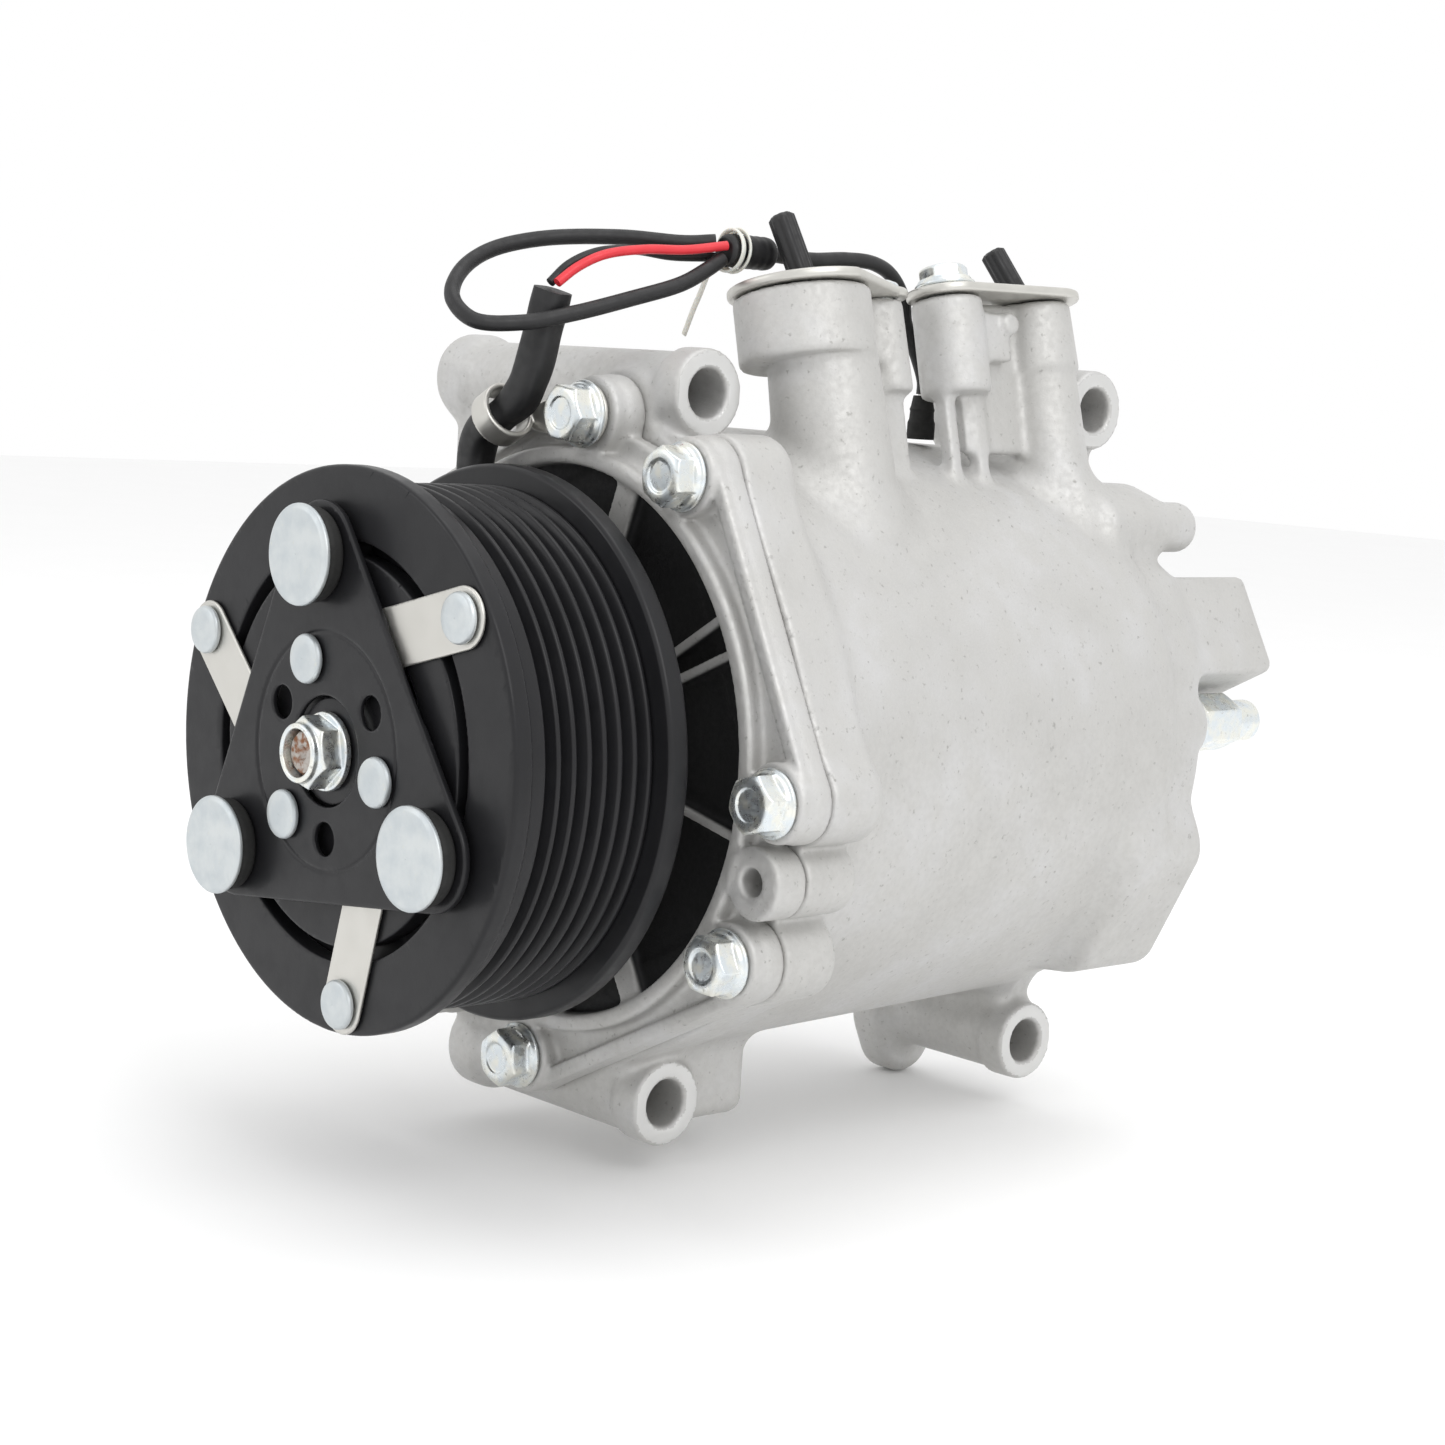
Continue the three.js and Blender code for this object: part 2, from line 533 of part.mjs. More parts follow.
// A collar round the shaft's crank flange, with its mass on the side away from the crank pin.
function counterweight() {
  const collar = ring(18.3, 21, -5.9, -3.3, 28);
  const half = new THREE.Shape();
  half.absarc(0, 0, 30, 200 * DEG, 340 * DEG, false);
  half.absarc(0, 0, 20, 340 * DEG, 200 * DEG, true);
  return join(collar, plateXZ(half, -5.9, -3.3, 14));
}

// A spiral wall of constant thickness: two involutes of one circle, half a thickness either side.
function wrap(turn, y0, y1) {
  const from = 3.4;
  const to = 14.8;
  const steps = 32;
  const side = WRAP_THICKNESS / 2 / INVOLUTE_R;
  const point = (unwound, shift) => {
    const direction = unwound + turn * DEG;
    const arm = INVOLUTE_R * (unwound + shift);
    return new THREE.Vector2(
      INVOLUTE_R * Math.cos(direction) + arm * Math.sin(direction),
      INVOLUTE_R * Math.sin(direction) - arm * Math.cos(direction));
  };
  const range = Array.from({ length: steps + 1 }, (_, i) => from + ((to - from) * i) / steps);
  const outside = range.map((unwound) => point(unwound, side));
  const inside = range.map((unwound) => point(unwound, -side)).reverse();
  return plateXZ(new THREE.Shape([...outside, ...inside]), y0, y1);
}

const WRAP_END_Y = SCROLL_BASE.back + WRAP_HEIGHT;
const PIN_CIRCLE_R = 33;
const PIN_R = 2.6;
const quarters = [45, 135, 225, 315];

function orbitingScroll() {
  const { front, back } = SCROLL_BASE;
  const pockets = quarters.map((angle) => {
    const [x, z] = polar(PIN_CIRCLE_R, angle);
    return cylinder("y", PIN_R + CRANK_OFFSET + 0.5, front - 1, front + 5, x, z, 16);
  });
  const disc = turned([
    [14, 0], [18.5, 0], [18.5, front], [46, front], [46, back], [0, back], [0, front], [14, front],
  ]);
  const body = cut(disc, ...pockets).add(wrap(0, back - 0.5, WRAP_END_Y));
  return body.translate([0, 0, CRANK_OFFSET]);
}

function fixedScroll() {
  const base = turned([
    [51.6, SCROLL_BASE.back + 0.5], [55.4, SCROLL_BASE.back + 0.5], [55.4, WRAP_END_Y + 10.5],
    [0, WRAP_END_Y + 10.5], [0, WRAP_END_Y + 0.5], [51.6, WRAP_END_Y + 0.5],
  ]);
  const inlet = box(0, 60, 22, 38, 20, 50);
  const outlet = cylinder("y", 4, WRAP_END_Y, WRAP_END_Y + 12, 0, 0, 14);
  return cut(cut(base, inlet).add(wrap(180, SCROLL_BASE.back + 0.5, WRAP_END_Y + 1)), outlet);
}

// The plate that the orbiting scroll bears on, with the pins that keep it from turning.
function thrustFrame() {
  const pins = quarters.map((angle) => {
    const [x, z] = polar(PIN_CIRCLE_R, angle);
    return cylinder("y", PIN_R, 11, 17.4, x, z, 12);
  });
  return join(ring(24.5, 55.4, -2.6, SCROLL_BASE.front - 0.4), ...pins);
}

const REED_HINGE = { y: WRAP_END_Y + 11.05, z: 26 };

function reed() {
  const y = REED_HINGE.y;
  return plateXZ(barShape([0, REED_HINGE.z], [0, 0], 5), y - 0.25, y + 0.25, 5);
}

function reedStop() {
  const stop = plateXZ(barShape([0, 0], [0, -26], 5), 1, 3, 5);
  return stop.rotate([8, 0, 0]).translate([0, REED_HINGE.y, REED_HINGE.z]);
}

addPiece("drive_shaft", driveShaft(), BEARING_STEEL);
addPiece("counterweight", counterweight(), BRIGHT_STEEL);
addPiece("shaft_seal", ring(8.3, 14.2, -55, -47.5, 28), BLACK_RUBBER);
addPiece("front_bearing", ring(8.3, 14.7, -33.7, -24.3, 28), BEARING_STEEL);
addPiece("main_bearing", ring(12.8, 25.7, -20.2, -6.6, 32), BEARING_STEEL);
addPiece("orbit_bearing", ring(10, 13.7, 0.3, 11.5, 24).translate([0, 0, CRANK_OFFSET]), BEARING_STEEL);
addPiece("thrust_frame", thrustFrame(), CAST_ALUMINIUM);
addPiece("orbiting_scroll", orbitingScroll(), CAST_ALUMINIUM);
addPiece("fixed_scroll", fixedScroll(), CAST_ALUMINIUM);
addPiece("discharge_reed", reed(), BRIGHT_STEEL);
addPiece("reed_stop", reedStop(), BRIGHT_STEEL);

// ---------------------------------------------------------------- shipping covers, plugs and valve
const COVER_THICKNESS = 2;
const PLUG_FLANGE_R = 7.6;
const STEM_DIRECTION = -43; // the plugs' stems point forwards and to the left

// A plate over a port, with a hole for the plug and one for the screw.
function cover(port, portR, boltR, boltHoleR) {
  const bottom = port.top + GAP;
  const shape = barShape([port.x, port.y], [port.boltX, port.boltY], portR, boltR);
  return leaned(cut(
    plateXY(shape, bottom, bottom + COVER_THICKNESS, 12),
    cylinder("z", port.hole - 0.5, 80, 100, port.x, port.y, 20),
    cylinder("z", boltHoleR, 80, 100, port.boltX, port.boltY, 12)));
}

// A plug in the port, with a flange over the cover, and a leaning stem set off the middle of the flange.
function plug(port, stemLean, stemLength, offset) {
  const seat = port.top + COVER_THICKNESS + 2 * GAP;
  const direction = STEM_DIRECTION * DEG;
  const aside = [port.x + offset * Math.sin(direction), port.y - offset * Math.cos(direction)];
  const stem = cylinder("z", 2.8, -0.6, stemLength, 0, 0, 10)
    .rotate([stemLean, 0, 0])
    .rotate([0, 0, STEM_DIRECTION])
    .translate([...aside, seat + 1]);
  return leaned(join(
    cylinder("z", port.hole - 0.9, 82, seat + 0.5, port.x, port.y, 20),
    cylinder("z", PLUG_FLANGE_R, seat, seat + 1, ...aside, 20),
    cut(stem, cylinder("z", 2 * PLUG_FLANGE_R, seat - 9, seat + 0.3, ...aside, 20))));
}

function coverScrew(port, shankR, flangeR, headR, height) {
  const seat = port.top + COVER_THICKNESS + 2 * GAP;
  return leaned(join(
    cylinder("z", shankR, 80, seat + 0.5, port.boltX, port.boltY, 10),
    cylinder("z", flangeR, seat, seat + 1.2, port.boltX, port.boltY, 16),
    cylinder("z", headR, seat + 0.5, seat + height, port.boltX, port.boltY, 6)));
}

addPiece("suction_cover", cover(SUCTION, 15.6, 6, 3.4), BRIGHT_STEEL);
addPiece("discharge_cover", cover(DISCHARGE, 10.6, 8.4, 4.4), BRIGHT_STEEL);
addPiece("suction_plug", plug(SUCTION, 13.5, 13.5, 0), BLACK_PLASTIC);
addPiece("discharge_plug", plug(DISCHARGE, 23, 10.5, 3), BLACK_PLASTIC);
addPiece("suction_cover_bolt", coverScrew(SUCTION, 2.9, 4.4, 3.4, 1.7), ZINC_STEEL);
addPiece("discharge_cover_bolt", coverScrew(DISCHARGE, 3.8, 6.4, 5.2, 4.6), ZINC_STEEL);

function reliefValve() {
  return join(
    cylinder("y", 3.9, 112, REAR_Y + 6, VALVE.x, VALVE.z, 12),
    cylinder("y", 6.4, REAR_Y + 3.3, REAR_Y + 18, VALVE.x, VALVE.z, 6),
    cylinder("y", 4.6, REAR_Y + 17, REAR_Y + 26, VALVE.x, VALVE.z, 14));
}
addPiece("relief_valve", reliefValve(), ZINC_STEEL);

// ---------------------------------------------------------------- wiring
const SLEEVE_R = 3.9;
const CLIP_CENTRE = [-11.5, -23.2, 63.3];
const SLEEVE_ROUTE = [
  [-14.5, -24, 37], [-19, -22.6, 46], [-20.5, -22.3, 54], [-18, -22.6, 60], CLIP_CENTRE,
  [-6.8, -22.8, 66.8], [-4.2, -22.2, 72], [-2.2, -21.4, 81], [-0.5, -21, 88],
];
const CABLE_R = 1.55;
const WIRE_R = 0.95;
const SPLICE = { x: 8, z: 98.5, radius: 3.4, front: 15.4, back: 28 };
const BOOT = { x: 7, y: 77, bottom: 62.6, top: 72 };

// The cable's loop out over the clutch: from the top of the splice and back to its lower half.
const LOOP_ROUTE = [
  [6.4, 14.4, 100], [2.8, 9.5, 99.4], [-5.2, -0.8, 99.7], [-12.4, -15.3, 98.2], [-15, -26, 95],
  [-13.6, -33.7, 90.4], [-9, -38.6, 85], [-3.5, -37.5, 81.2], [1.2, -29.5, 81.3], [4.2, -19.5, 83.7],
  [6.8, -7.5, 87.3], [8.6, 4, 91], [8.9, 9.5, 93.8], [8.6, 14.4, 96.6],
];
const LEAD_ROUTE = [
  [SPLICE.x, SPLICE.back + GAP, 98.5], [8, 40, 98.3], [8, 50, 99.1], [8, 58, 98.9], [7.6, 64, 96.8],
  [7.2, 68.5, 92], [5.6, 71.5, 87], [6.2, 75, 80.5], [BOOT.x, BOOT.y - 0.1, 75],
  [BOOT.x, BOOT.y, BOOT.top + GAP],
];
const RED_ROUTE = [
  [0.7, -21, 89.4], [1.3, -16.5, 92.8], [2.8, -11.3, 95.5], [4.8, -2.6, 97.2], [6.8, 6.4, 97.8],
  [9.3, 14.9, 99.3],
];
const BLACK_ROUTE = [
  [-1.5, -21, 89.4], [-0.8, -17, 93.2], [0.7, -11.3, 96], [2.6, -3.5, 97], [4.1, 5, 96.5],
  [5.9, 14.9, 97],
];

// A band round the sleeve, with a tongue under the first housing bolt.
function wireClip() {
  const [x, y, z] = CLIP_CENTRE;
  const back = SEAT_Y - GAP;
  const band = cut(cylinder("z", 5.9, -2.6, 2.6, 0, 0, 18), cylinder("z", 4.7, -4, 4, 0, 0, 18));
  const tongue = plateXZ(barShape(boltCentres[0], [x + 4, z], 6, 2.8), back - CLIP_THICKNESS, back, 5);
  const eye = cylinder("y", 3.4, back - 3, back + 1, ...boltCentres[0], 10);
  const leaned = band.rotate([0, 61, 0]).translate([x, y, z]);
  const clearance = tubeAlong(SLEEVE_ROUTE, SLEEVE_R + GAP, 8, 14);
  return cut(join(cut(tongue, eye), leaned), clearance);
}

function twistTie() {
  const { x, z, radius } = SPLICE;
  const tieRing = ring(radius + GAP, radius + 1.1, 15.6, 16.6, 16).translate([x, 0, z]);
  const tailRoute = [[x - 3.8, 16.1, z - 1.5], [1.3, 16, 90.5], [-2, 17, 86.5], [-5.5, 18, 81.5]];
  const tail = tubeAlong(tailRoute, 0.5, 6, 6);
  return join(tieRing, tail);
}

function leadBoot() {
  const { x, y, bottom, top } = BOOT;
  return join(
    cylinder("z", 3, bottom, bottom + 4, x, y, 14),
    cylinder("z", 2.8, bottom + 3.8, top, x, y, 14, 2.2));
}

addPiece("wire_sleeve", tubeAlong(SLEEVE_ROUTE, SLEEVE_R, 8, 14), BLACK_PLASTIC);
addPiece("wire_clip", wireClip(), BRIGHT_STEEL);
addPiece("splice_sleeve", cylinder("y", SPLICE.radius, SPLICE.front, SPLICE.back, SPLICE.x, SPLICE.z, 16),
  BLACK_PLASTIC);
addPiece("twist_tie", twistTie(), WHITE_PLASTIC);
addPiece("lead_boot", leadBoot(), BLACK_RUBBER);
addPiece("loop_cable", tubeAlong(LOOP_ROUTE, CABLE_R, 8, 22), BLACK_PLASTIC);
addPiece("lead_cable", tubeAlong(LEAD_ROUTE, CABLE_R, 8, 12), BLACK_PLASTIC);
addPiece("red_wire", tubeAlong(RED_ROUTE, WIRE_R, 8, 10), RED_PLASTIC);
addPiece("black_wire", tubeAlong(BLACK_ROUTE, WIRE_R, 8, 10), BLACK_PLASTIC);

export default compressor;
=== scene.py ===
"""The looks of a car's air-conditioning compressor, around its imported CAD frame.

Blender works in metres. Shapes here are given in millimetres, in the frame's own axes: the shaft lies
along Y with the clutch at -Y, the lug faces look along +X, and +Z is up. MM turns one into the other.
"""
import math

import bmesh
import bpy
import numpy as np
import openvdb as vdb
from mathutils import Matrix, Vector


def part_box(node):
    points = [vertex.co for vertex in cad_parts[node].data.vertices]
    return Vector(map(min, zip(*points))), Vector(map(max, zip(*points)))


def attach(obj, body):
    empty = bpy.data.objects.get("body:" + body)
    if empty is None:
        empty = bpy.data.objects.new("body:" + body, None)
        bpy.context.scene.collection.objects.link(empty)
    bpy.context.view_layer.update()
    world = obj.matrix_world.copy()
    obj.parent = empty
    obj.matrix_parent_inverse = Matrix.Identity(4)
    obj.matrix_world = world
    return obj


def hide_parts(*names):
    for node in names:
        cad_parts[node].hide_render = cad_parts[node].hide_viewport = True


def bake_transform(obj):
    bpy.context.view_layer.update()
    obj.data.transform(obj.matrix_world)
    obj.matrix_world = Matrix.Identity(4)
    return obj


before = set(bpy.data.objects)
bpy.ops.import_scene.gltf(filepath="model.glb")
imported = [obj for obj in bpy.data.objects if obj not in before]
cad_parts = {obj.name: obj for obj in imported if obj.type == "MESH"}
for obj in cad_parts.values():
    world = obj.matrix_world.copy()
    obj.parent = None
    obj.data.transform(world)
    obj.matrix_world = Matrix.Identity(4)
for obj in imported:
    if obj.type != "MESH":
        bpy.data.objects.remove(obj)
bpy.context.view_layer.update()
MM = 0.001
TAU = 2 * math.pi


def new_object(name, data):
    made = bpy.data.objects.new(name, data)
    bpy.context.scene.collection.objects.link(made)
    return made


def corners_mm(node):
    low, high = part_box(node)
    return np.array(low) / MM, np.array(high) / MM


# ---------------------------------------------------------------- sizes, from the frame
ARMATURE_LOW, ARMATURE_HIGH = corners_mm("armature")
FRONT_LOW, FRONT_HIGH = corners_mm("front_housing")
MAIN_LOW, MAIN_HIGH = corners_mm("main_housing")
ARMATURE_FACE_Y = ARMATURE_LOW[1]
ARMATURE_BACK_Y = ARMATURE_HIGH[1]
ARMATURE_R = 53.2
GAP = 0.3  # between neighbouring CAD solids
SEAT_Y = -16.4  # the bolt heads' seats
RAIL_Y = -15.2  # front of the front flange's rails
THIN_FLANGE_Y = -12.5  # front of the front flange between its lobes
PARTING_Y = -9
DISH_R, DISH_FLOOR_Y = 54.7, -6.8
SPIGOT_R, SPIGOT_BACK_Y = 55.5, -3
NOSE_R, NOSE_Y = 20, -57.5
REAR_Y = 119
LUG_FACE_X = 23
BOLT_ANGLES = [83.6, 56.8, -2.6, -32, -93.3, -122, 177, 148]
BOLT_CIRCLE_R = 65
BOLT_LOBE_R = 7.6
PLAIN_HOLE_ANGLE = -17
LUGS = [(0, 70, -54), (0, -71, -38.5), (115.8, 71, -24), (108.3, -71, -24)]  # y, z and far end
LUG_R = 8.7
LUG_HOLE_R = 4.8
# The two hose ports, upright; both then lean towards -X about a line along Y.
PORT_LEAN = math.radians(14)
PORT_PIVOT_X, PORT_PIVOT_Z = 20, 84
SUCTION = {"x": 20.5, "y": 28, "top": 90.6, "hole": 7.5, "bolt_x": 20, "bolt_y": 50}
DISCHARGE = {"x": 19.5, "y": 98, "top": 92.6, "hole": 5.5, "bolt_x": 19.5, "bolt_y": 71}
COVER_THICKNESS = 2
PLUG_FLANGE_R = 7.6
STEM_R = 2.75
STEM_DIRECTION = math.radians(-43)  # the plugs' stems point forwards and to the left
CLIP_UNDER_BOLT = 1.3  # the wire clip's tongue, with its gap, lifts the first bolt
VALVE_X, VALVE_Z = 48.5, 4.2
BUMPER_ANGLE, BUMPER_CIRCLE_R = 97, 36.5
HUB_RIVET_ANGLE, HUB_RIVET_CIRCLE_R = 109.5, 17.7
STRAP_RIVET_ANGLE, STRAP_RIVET_CIRCLE_R = 37.5, 47.2
THIRDS = (0, 120, 240)


def polar(radius, degrees):
    return radius * math.cos(math.radians(degrees)), radius * math.sin(math.radians(degrees))


# ---------------------------------------------------------------- camera
CAMERA_PLACE = Vector((423.8, -364.5, 72.7)) * MM
CAMERA_AZIMUTH, CAMERA_ELEVATION, CAMERA_ROLL = (math.radians(a) for a in (47.03, 7.0, 3.51))


def set_camera():
    a, e, roll = CAMERA_AZIMUTH, CAMERA_ELEVATION, CAMERA_ROLL
    back = Vector((math.sin(a) * math.cos(e), -math.cos(a) * math.cos(e), math.sin(e)))
    level = Vector((math.cos(a), math.sin(a), 0))
    upright = back.cross(level)
    right = math.cos(roll) * level + math.sin(roll) * upright
    up = back.cross(right)
    data = bpy.data.cameras.new("camera")
    data.lens = 69.34
    data.sensor_width = 36
    camera = new_object("camera", data)
    camera.matrix_world = Matrix.Translation(CAMERA_PLACE) @ Matrix((right, up, back)).transposed().to_4x4()
    bpy.context.scene.camera = camera


set_camera()


# ---------------------------------------------------------------- finishes
class Finish:
    """A procedural material: patterns in the object's own coordinates feed one Principled shader."""

    def __init__(self, name, **sockets):
        self.material = bpy.data.materials.new(name)
        self.material.use_nodes = True
        self.tree = self.material.node_tree
        self.shader = self.tree.nodes["Principled BSDF"]
        self.place = self.tree.nodes.new("ShaderNodeTexCoord").outputs["Object"]
        for socket, value in sockets.items():
            self.shader.inputs[socket.replace("_", " ").title().replace("Ior", "IOR")].default_value = value

    def node(self, kind, **values):
        made = self.tree.nodes.new(kind)
        for key, value in values.items():
            setattr(made, key, value)
        return made

    def link(self, output, socket):
        self.tree.links.new(output, socket)

    def noise(self, size_mm, detail=3.0, roughness=0.55):
        made = self.node("ShaderNodeTexNoise")
        self.link(self.place, made.inputs["Vector"])
        made.inputs["Scale"].default_value = 1 / (size_mm * MM)
        made.inputs["Detail"].default_value = detail
        made.inputs["Roughness"].default_value = roughness
        return made.outputs["Fac"]

    def rings(self, axis, spacing_mm):
        """Turning marks: fine rings about an axis of the object."""
        made = self.node("ShaderNodeTexWave", wave_type="RINGS", rings_direction=axis)
        self.link(self.place, made.inputs["Vector"])
        made.inputs["Scale"].default_value = 1 / (spacing_mm * MM) / 20
        made.inputs["Distortion"].default_value = 0.6
        made.inputs["Detail"].default_value = 2
        made.inputs["Detail Scale"].default_value = 300
        return made.outputs["Fac"]

    def math(self, operation, first, second=None):
        made = self.node("ShaderNodeMath", operation=operation)
        for socket, value in zip(made.inputs, (first, second)):
            if isinstance(value, float):
                socket.default_value = value
            elif value is not None:
                self.link(value, socket)
        return made.outputs[0]

    def spread(self, factor, low, high, to_low=0.0, to_high=1.0):
        made = self.node("ShaderNodeMapRange", interpolation_type="SMOOTHSTEP")
        self.link(factor, made.inputs["Value"])
        for socket, value in zip(("From Min", "From Max", "To Min", "To Max"), (low, high, to_low, to_high)):
            made.inputs[socket].default_value = value
        return made.outputs["Result"]

    def mixed(self, factor, first, second):
        """A colour between two; each is a plain colour or another mix."""
        made = self.node("ShaderNodeMix", data_type="RGBA")
        self.link(factor, made.inputs["Factor"])
        for socket, colour in ((6, first), (7, second)):
            if isinstance(colour, tuple):
                made.inputs[socket].default_value = (*colour, 1)
            else:
                self.link(colour, made.inputs[socket])
        return made.outputs[2]

    def colour(self, output):
        self.link(output, self.shader.inputs["Base Color"])

    def roughness(self, factor, low, high):
        self.link(self.spread(factor, 0.3, 0.7, low, high), self.shader.inputs["Roughness"])

    def bump(self, height, depth_mm, over=None):
        made = self.node("ShaderNodeBump")
        self.link(height, made.inputs["Height"])
        made.inputs["Distance"].default_value = depth_mm * MM
        made.inputs["Strength"].default_value = 1.0
        if over:
            self.link(over, made.inputs["Normal"])
        return made.outputs["Normal"]

    def surface(self, *bumps):
        """Bumps, each a height and its depth in millimetres, one over another."""
        normal = None
        for height, depth in bumps:
            normal = self.bump(height, depth, normal)
        self.link(normal, self.shader.inputs["Normal"])

    def worn_edges(self, low=0.52, high=0.6):
        """1 on convex edges, where handling has polished the surface."""
        made = self.node("ShaderNodeNewGeometry")
        return self.spread(made.outputs["Pointiness"], low, high)


def painted_dish_shade(f):
    """1 inside the front housing's dish, below its rim: painted shade, the recess's deep shadow painted dark
    into the colour.
    """
    at = f.node("ShaderNodeSeparateXYZ")
    f.link(f.place, at.inputs["Vector"])
    x, y, z = (at.outputs[axis] for axis in "XYZ")
    radius = f.math("SQRT", f.math("ADD", f.math("MULTIPLY", x, x), f.math("MULTIPLY", z, z)))
    inside = f.math("SUBTRACT", 1.0, f.spread(radius, 54.3 * MM, 55.1 * MM))
    return f.math("MULTIPLY", inside, f.spread(y, -15.4 * MM, -13.8 * MM))


def cast_aluminium(dish=False):
    """Die-cast aluminium: fine orange-peel skin, soft warm and cool blotches, small dark specks."""
    f = Finish("front_casting_painted_shade" if dish else "cast_aluminium", metallic=0.62, specular_ior_level=0.5)
    blotches = f.spread(f.noise(26, 4), 0.35, 0.68)
    streaks = f.spread(f.noise(7, 5), 0.3, 0.75)
    specks = f.spread(f.noise(1.2, 3), 0.62, 0.76)
    body = f.mixed(blotches, (0.52, 0.515, 0.50), (0.59, 0.588, 0.585))
    body = f.mixed(streaks, body, (0.55, 0.545, 0.53))
    body = f.mixed(specks, body, (0.38, 0.375, 0.36))
    if dish:
        # Painted shade: inside the dish, deeper than its rim, the colour is painted near-black for the
        # recess's shadow.
        body = f.mixed(painted_dish_shade(f), body, (0.022, 0.022, 0.023))
    f.colour(body)
    f.roughness(f.noise(1.4, 4), 0.52, 0.7)
    f.surface((f.noise(9, 3), 0.10), (f.noise(1.3, 3), 0.05), (f.noise(0.4, 3), 0.035))
    return f.material


def machined_aluminium():
    """A milled face: brighter, with fine tool marks."""
    f = Finish("machined_aluminium", metallic=0.75)
    f.colour(f.mixed(f.noise(4, 3), (0.62, 0.618, 0.605), (0.69, 0.69, 0.685)))
    f.roughness(f.noise(2, 3), 0.34, 0.48)
    f.surface((f.rings("X", 0.5), 0.006), (f.noise(0.5, 2), 0.01))
    return f.material


def black_steel():
    """Steel with a black electrocoat: satin, with a faint ripple and slightly greyer worn edges."""
    f = Finish("black_steel", metallic=0.0, specular_ior_level=0.24, coat_weight=0.1, coat_roughness=0.18)
    body = f.mixed(f.noise(14, 4), (0.009, 0.009, 0.010), (0.015, 0.015, 0.017))
    f.colour(f.mixed(f.worn_edges(), body, (0.035, 0.035, 0.038)))
    f.roughness(f.noise(5, 4), 0.32, 0.45)
    f.surface((f.noise(2.2, 3), 0.02), (f.noise(0.35, 2), 0.008))
    return f.material


def zinc_steel():
    """Bright zinc plate with a trace of blue and straw, lightly stained in places."""
    f = Finish("zinc_steel", metallic=0.9)
    tint = f.mixed(f.spread(f.noise(3.5, 3), 0.35, 0.65), (0.70, 0.75, 0.78), (0.80, 0.80, 0.74))
    f.colour(f.mixed(f.spread(f.noise(1.1, 4), 0.62, 0.75), tint, (0.50, 0.50, 0.47)))
    f.roughness(f.noise(1.5, 4), 0.22, 0.42)
    f.surface((f.noise(1.2, 3), 0.015), (f.noise(0.25, 2), 0.004))
    return f.material


def cap_steel():
    """Pressed caps with a dull pale plating."""
    f = Finish("cap_steel", metallic=0.7)
    tint = f.mixed(f.spread(f.noise(5, 4), 0.3, 0.7), (0.52, 0.56, 0.58), (0.61, 0.64, 0.645))
    f.colour(f.mixed(f.spread(f.noise(0.9, 3), 0.64, 0.76), tint, (0.6, 0.62, 0.6)))
    f.roughness(f.noise(2, 4), 0.4, 0.52)
    f.surface((f.noise(2, 4), 0.015), (f.noise(0.3, 2), 0.006))
    return f.material


def bright_steel():
    """Rolled strip: fine grain one way, faint staining."""
    f = Finish("bright_steel", metallic=0.85)
    f.colour(f.mixed(f.noise(5, 4), (0.56, 0.55, 0.515), (0.65, 0.64, 0.605)))
    f.roughness(f.noise(2.5, 4), 0.3, 0.46)
    f.surface((f.noise(1.0, 4), 0.01), (f.noise(0.3, 2), 0.004))
    return f.material


def bearing_steel():
    """Ground and hardened steel with turning marks and an oily tint."""
    f = Finish("bearing_steel", metallic=1.0)
    f.colour(f.mixed(f.noise(6, 3), (0.52, 0.53, 0.55), (0.60, 0.60, 0.60)))
    f.roughness(f.noise(2, 3), 0.16, 0.3)
    f.surface((f.rings("Y", 0.3), 0.003), (f.noise(0.6, 2), 0.003))
    return f.material


def rusty_steel():
    """The bare end of the shaft, with a bloom of rust."""
    f = Finish("rusty_steel", metallic=0.7)
    rust = f.spread(f.noise(1.6, 4), 0.42, 0.62)
    f.colour(f.mixed(rust, (0.46, 0.43, 0.40), (0.27, 0.13, 0.07)))
    f.roughness(f.noise(0.8, 3), 0.4, 0.75)
    f.surface((f.noise(0.5, 4), 0.05), (f.noise(0.15, 2), 0.02))
    return f.material


def black_rubber():
    f = Finish("black_rubber", specular_ior_level=0.35)
    f.colour(f.mixed(f.noise(4, 4), (0.012, 0.012, 0.012), (0.022, 0.022, 0.021)))
    f.roughness(f.noise(1.5, 3), 0.6, 0.78)
    f.surface((f.noise(1.5, 3), 0.02), (f.noise(0.3, 3), 0.012))
    return f.material


def black_plastic():
    f = Finish("black_plastic", specular_ior_level=0.45)
    f.colour(f.mixed(f.noise(6, 4), (0.010, 0.010, 0.011), (0.018, 0.018, 0.019)))
    f.roughness(f.noise(2, 3), 0.42, 0.58)
    f.surface((f.noise(3, 3), 0.025), (f.noise(0.4, 3), 0.008))
    return f.material


def red_plastic():
    f = Finish("red_plastic", specular_ior_level=0.5)
    f.colour(f.mixed(f.noise(3, 3), (0.62, 0.018, 0.03), (0.74, 0.035, 0.05)))
    f.roughness(f.noise(1, 3), 0.34, 0.46)
    f.surface((f.noise(0.8, 3), 0.012), (f.noise(0.2, 2), 0.004))
    return f.material


def white_plastic():
    f = Finish("white_plastic", specular_ior_level=0.4, subsurface_weight=0.08)
    f.colour(f.mixed(f.noise(2, 3), (0.70, 0.68, 0.60), (0.80, 0.79, 0.74)))
    f.roughness(f.noise(1, 3), 0.45, 0.6)
    f.surface((f.noise(0.7, 3), 0.02), (f.noise(0.2, 2), 0.006))
    return f.material


def coil_resin():
    """Copper winding under brown resin."""
    f = Finish("coil_resin", specular_ior_level=0.5, coat_weight=0.4, coat_roughness=0.2)
    f.colour(f.mixed(f.noise(3, 4), (0.16, 0.06, 0.025), (0.30, 0.12, 0.05)))
    f.roughness(f.noise(1.5, 3), 0.3, 0.5)
    f.surface((f.rings("Y", 0.5), 0.03), (f.noise(0.5, 3), 0.02))
    return f.material


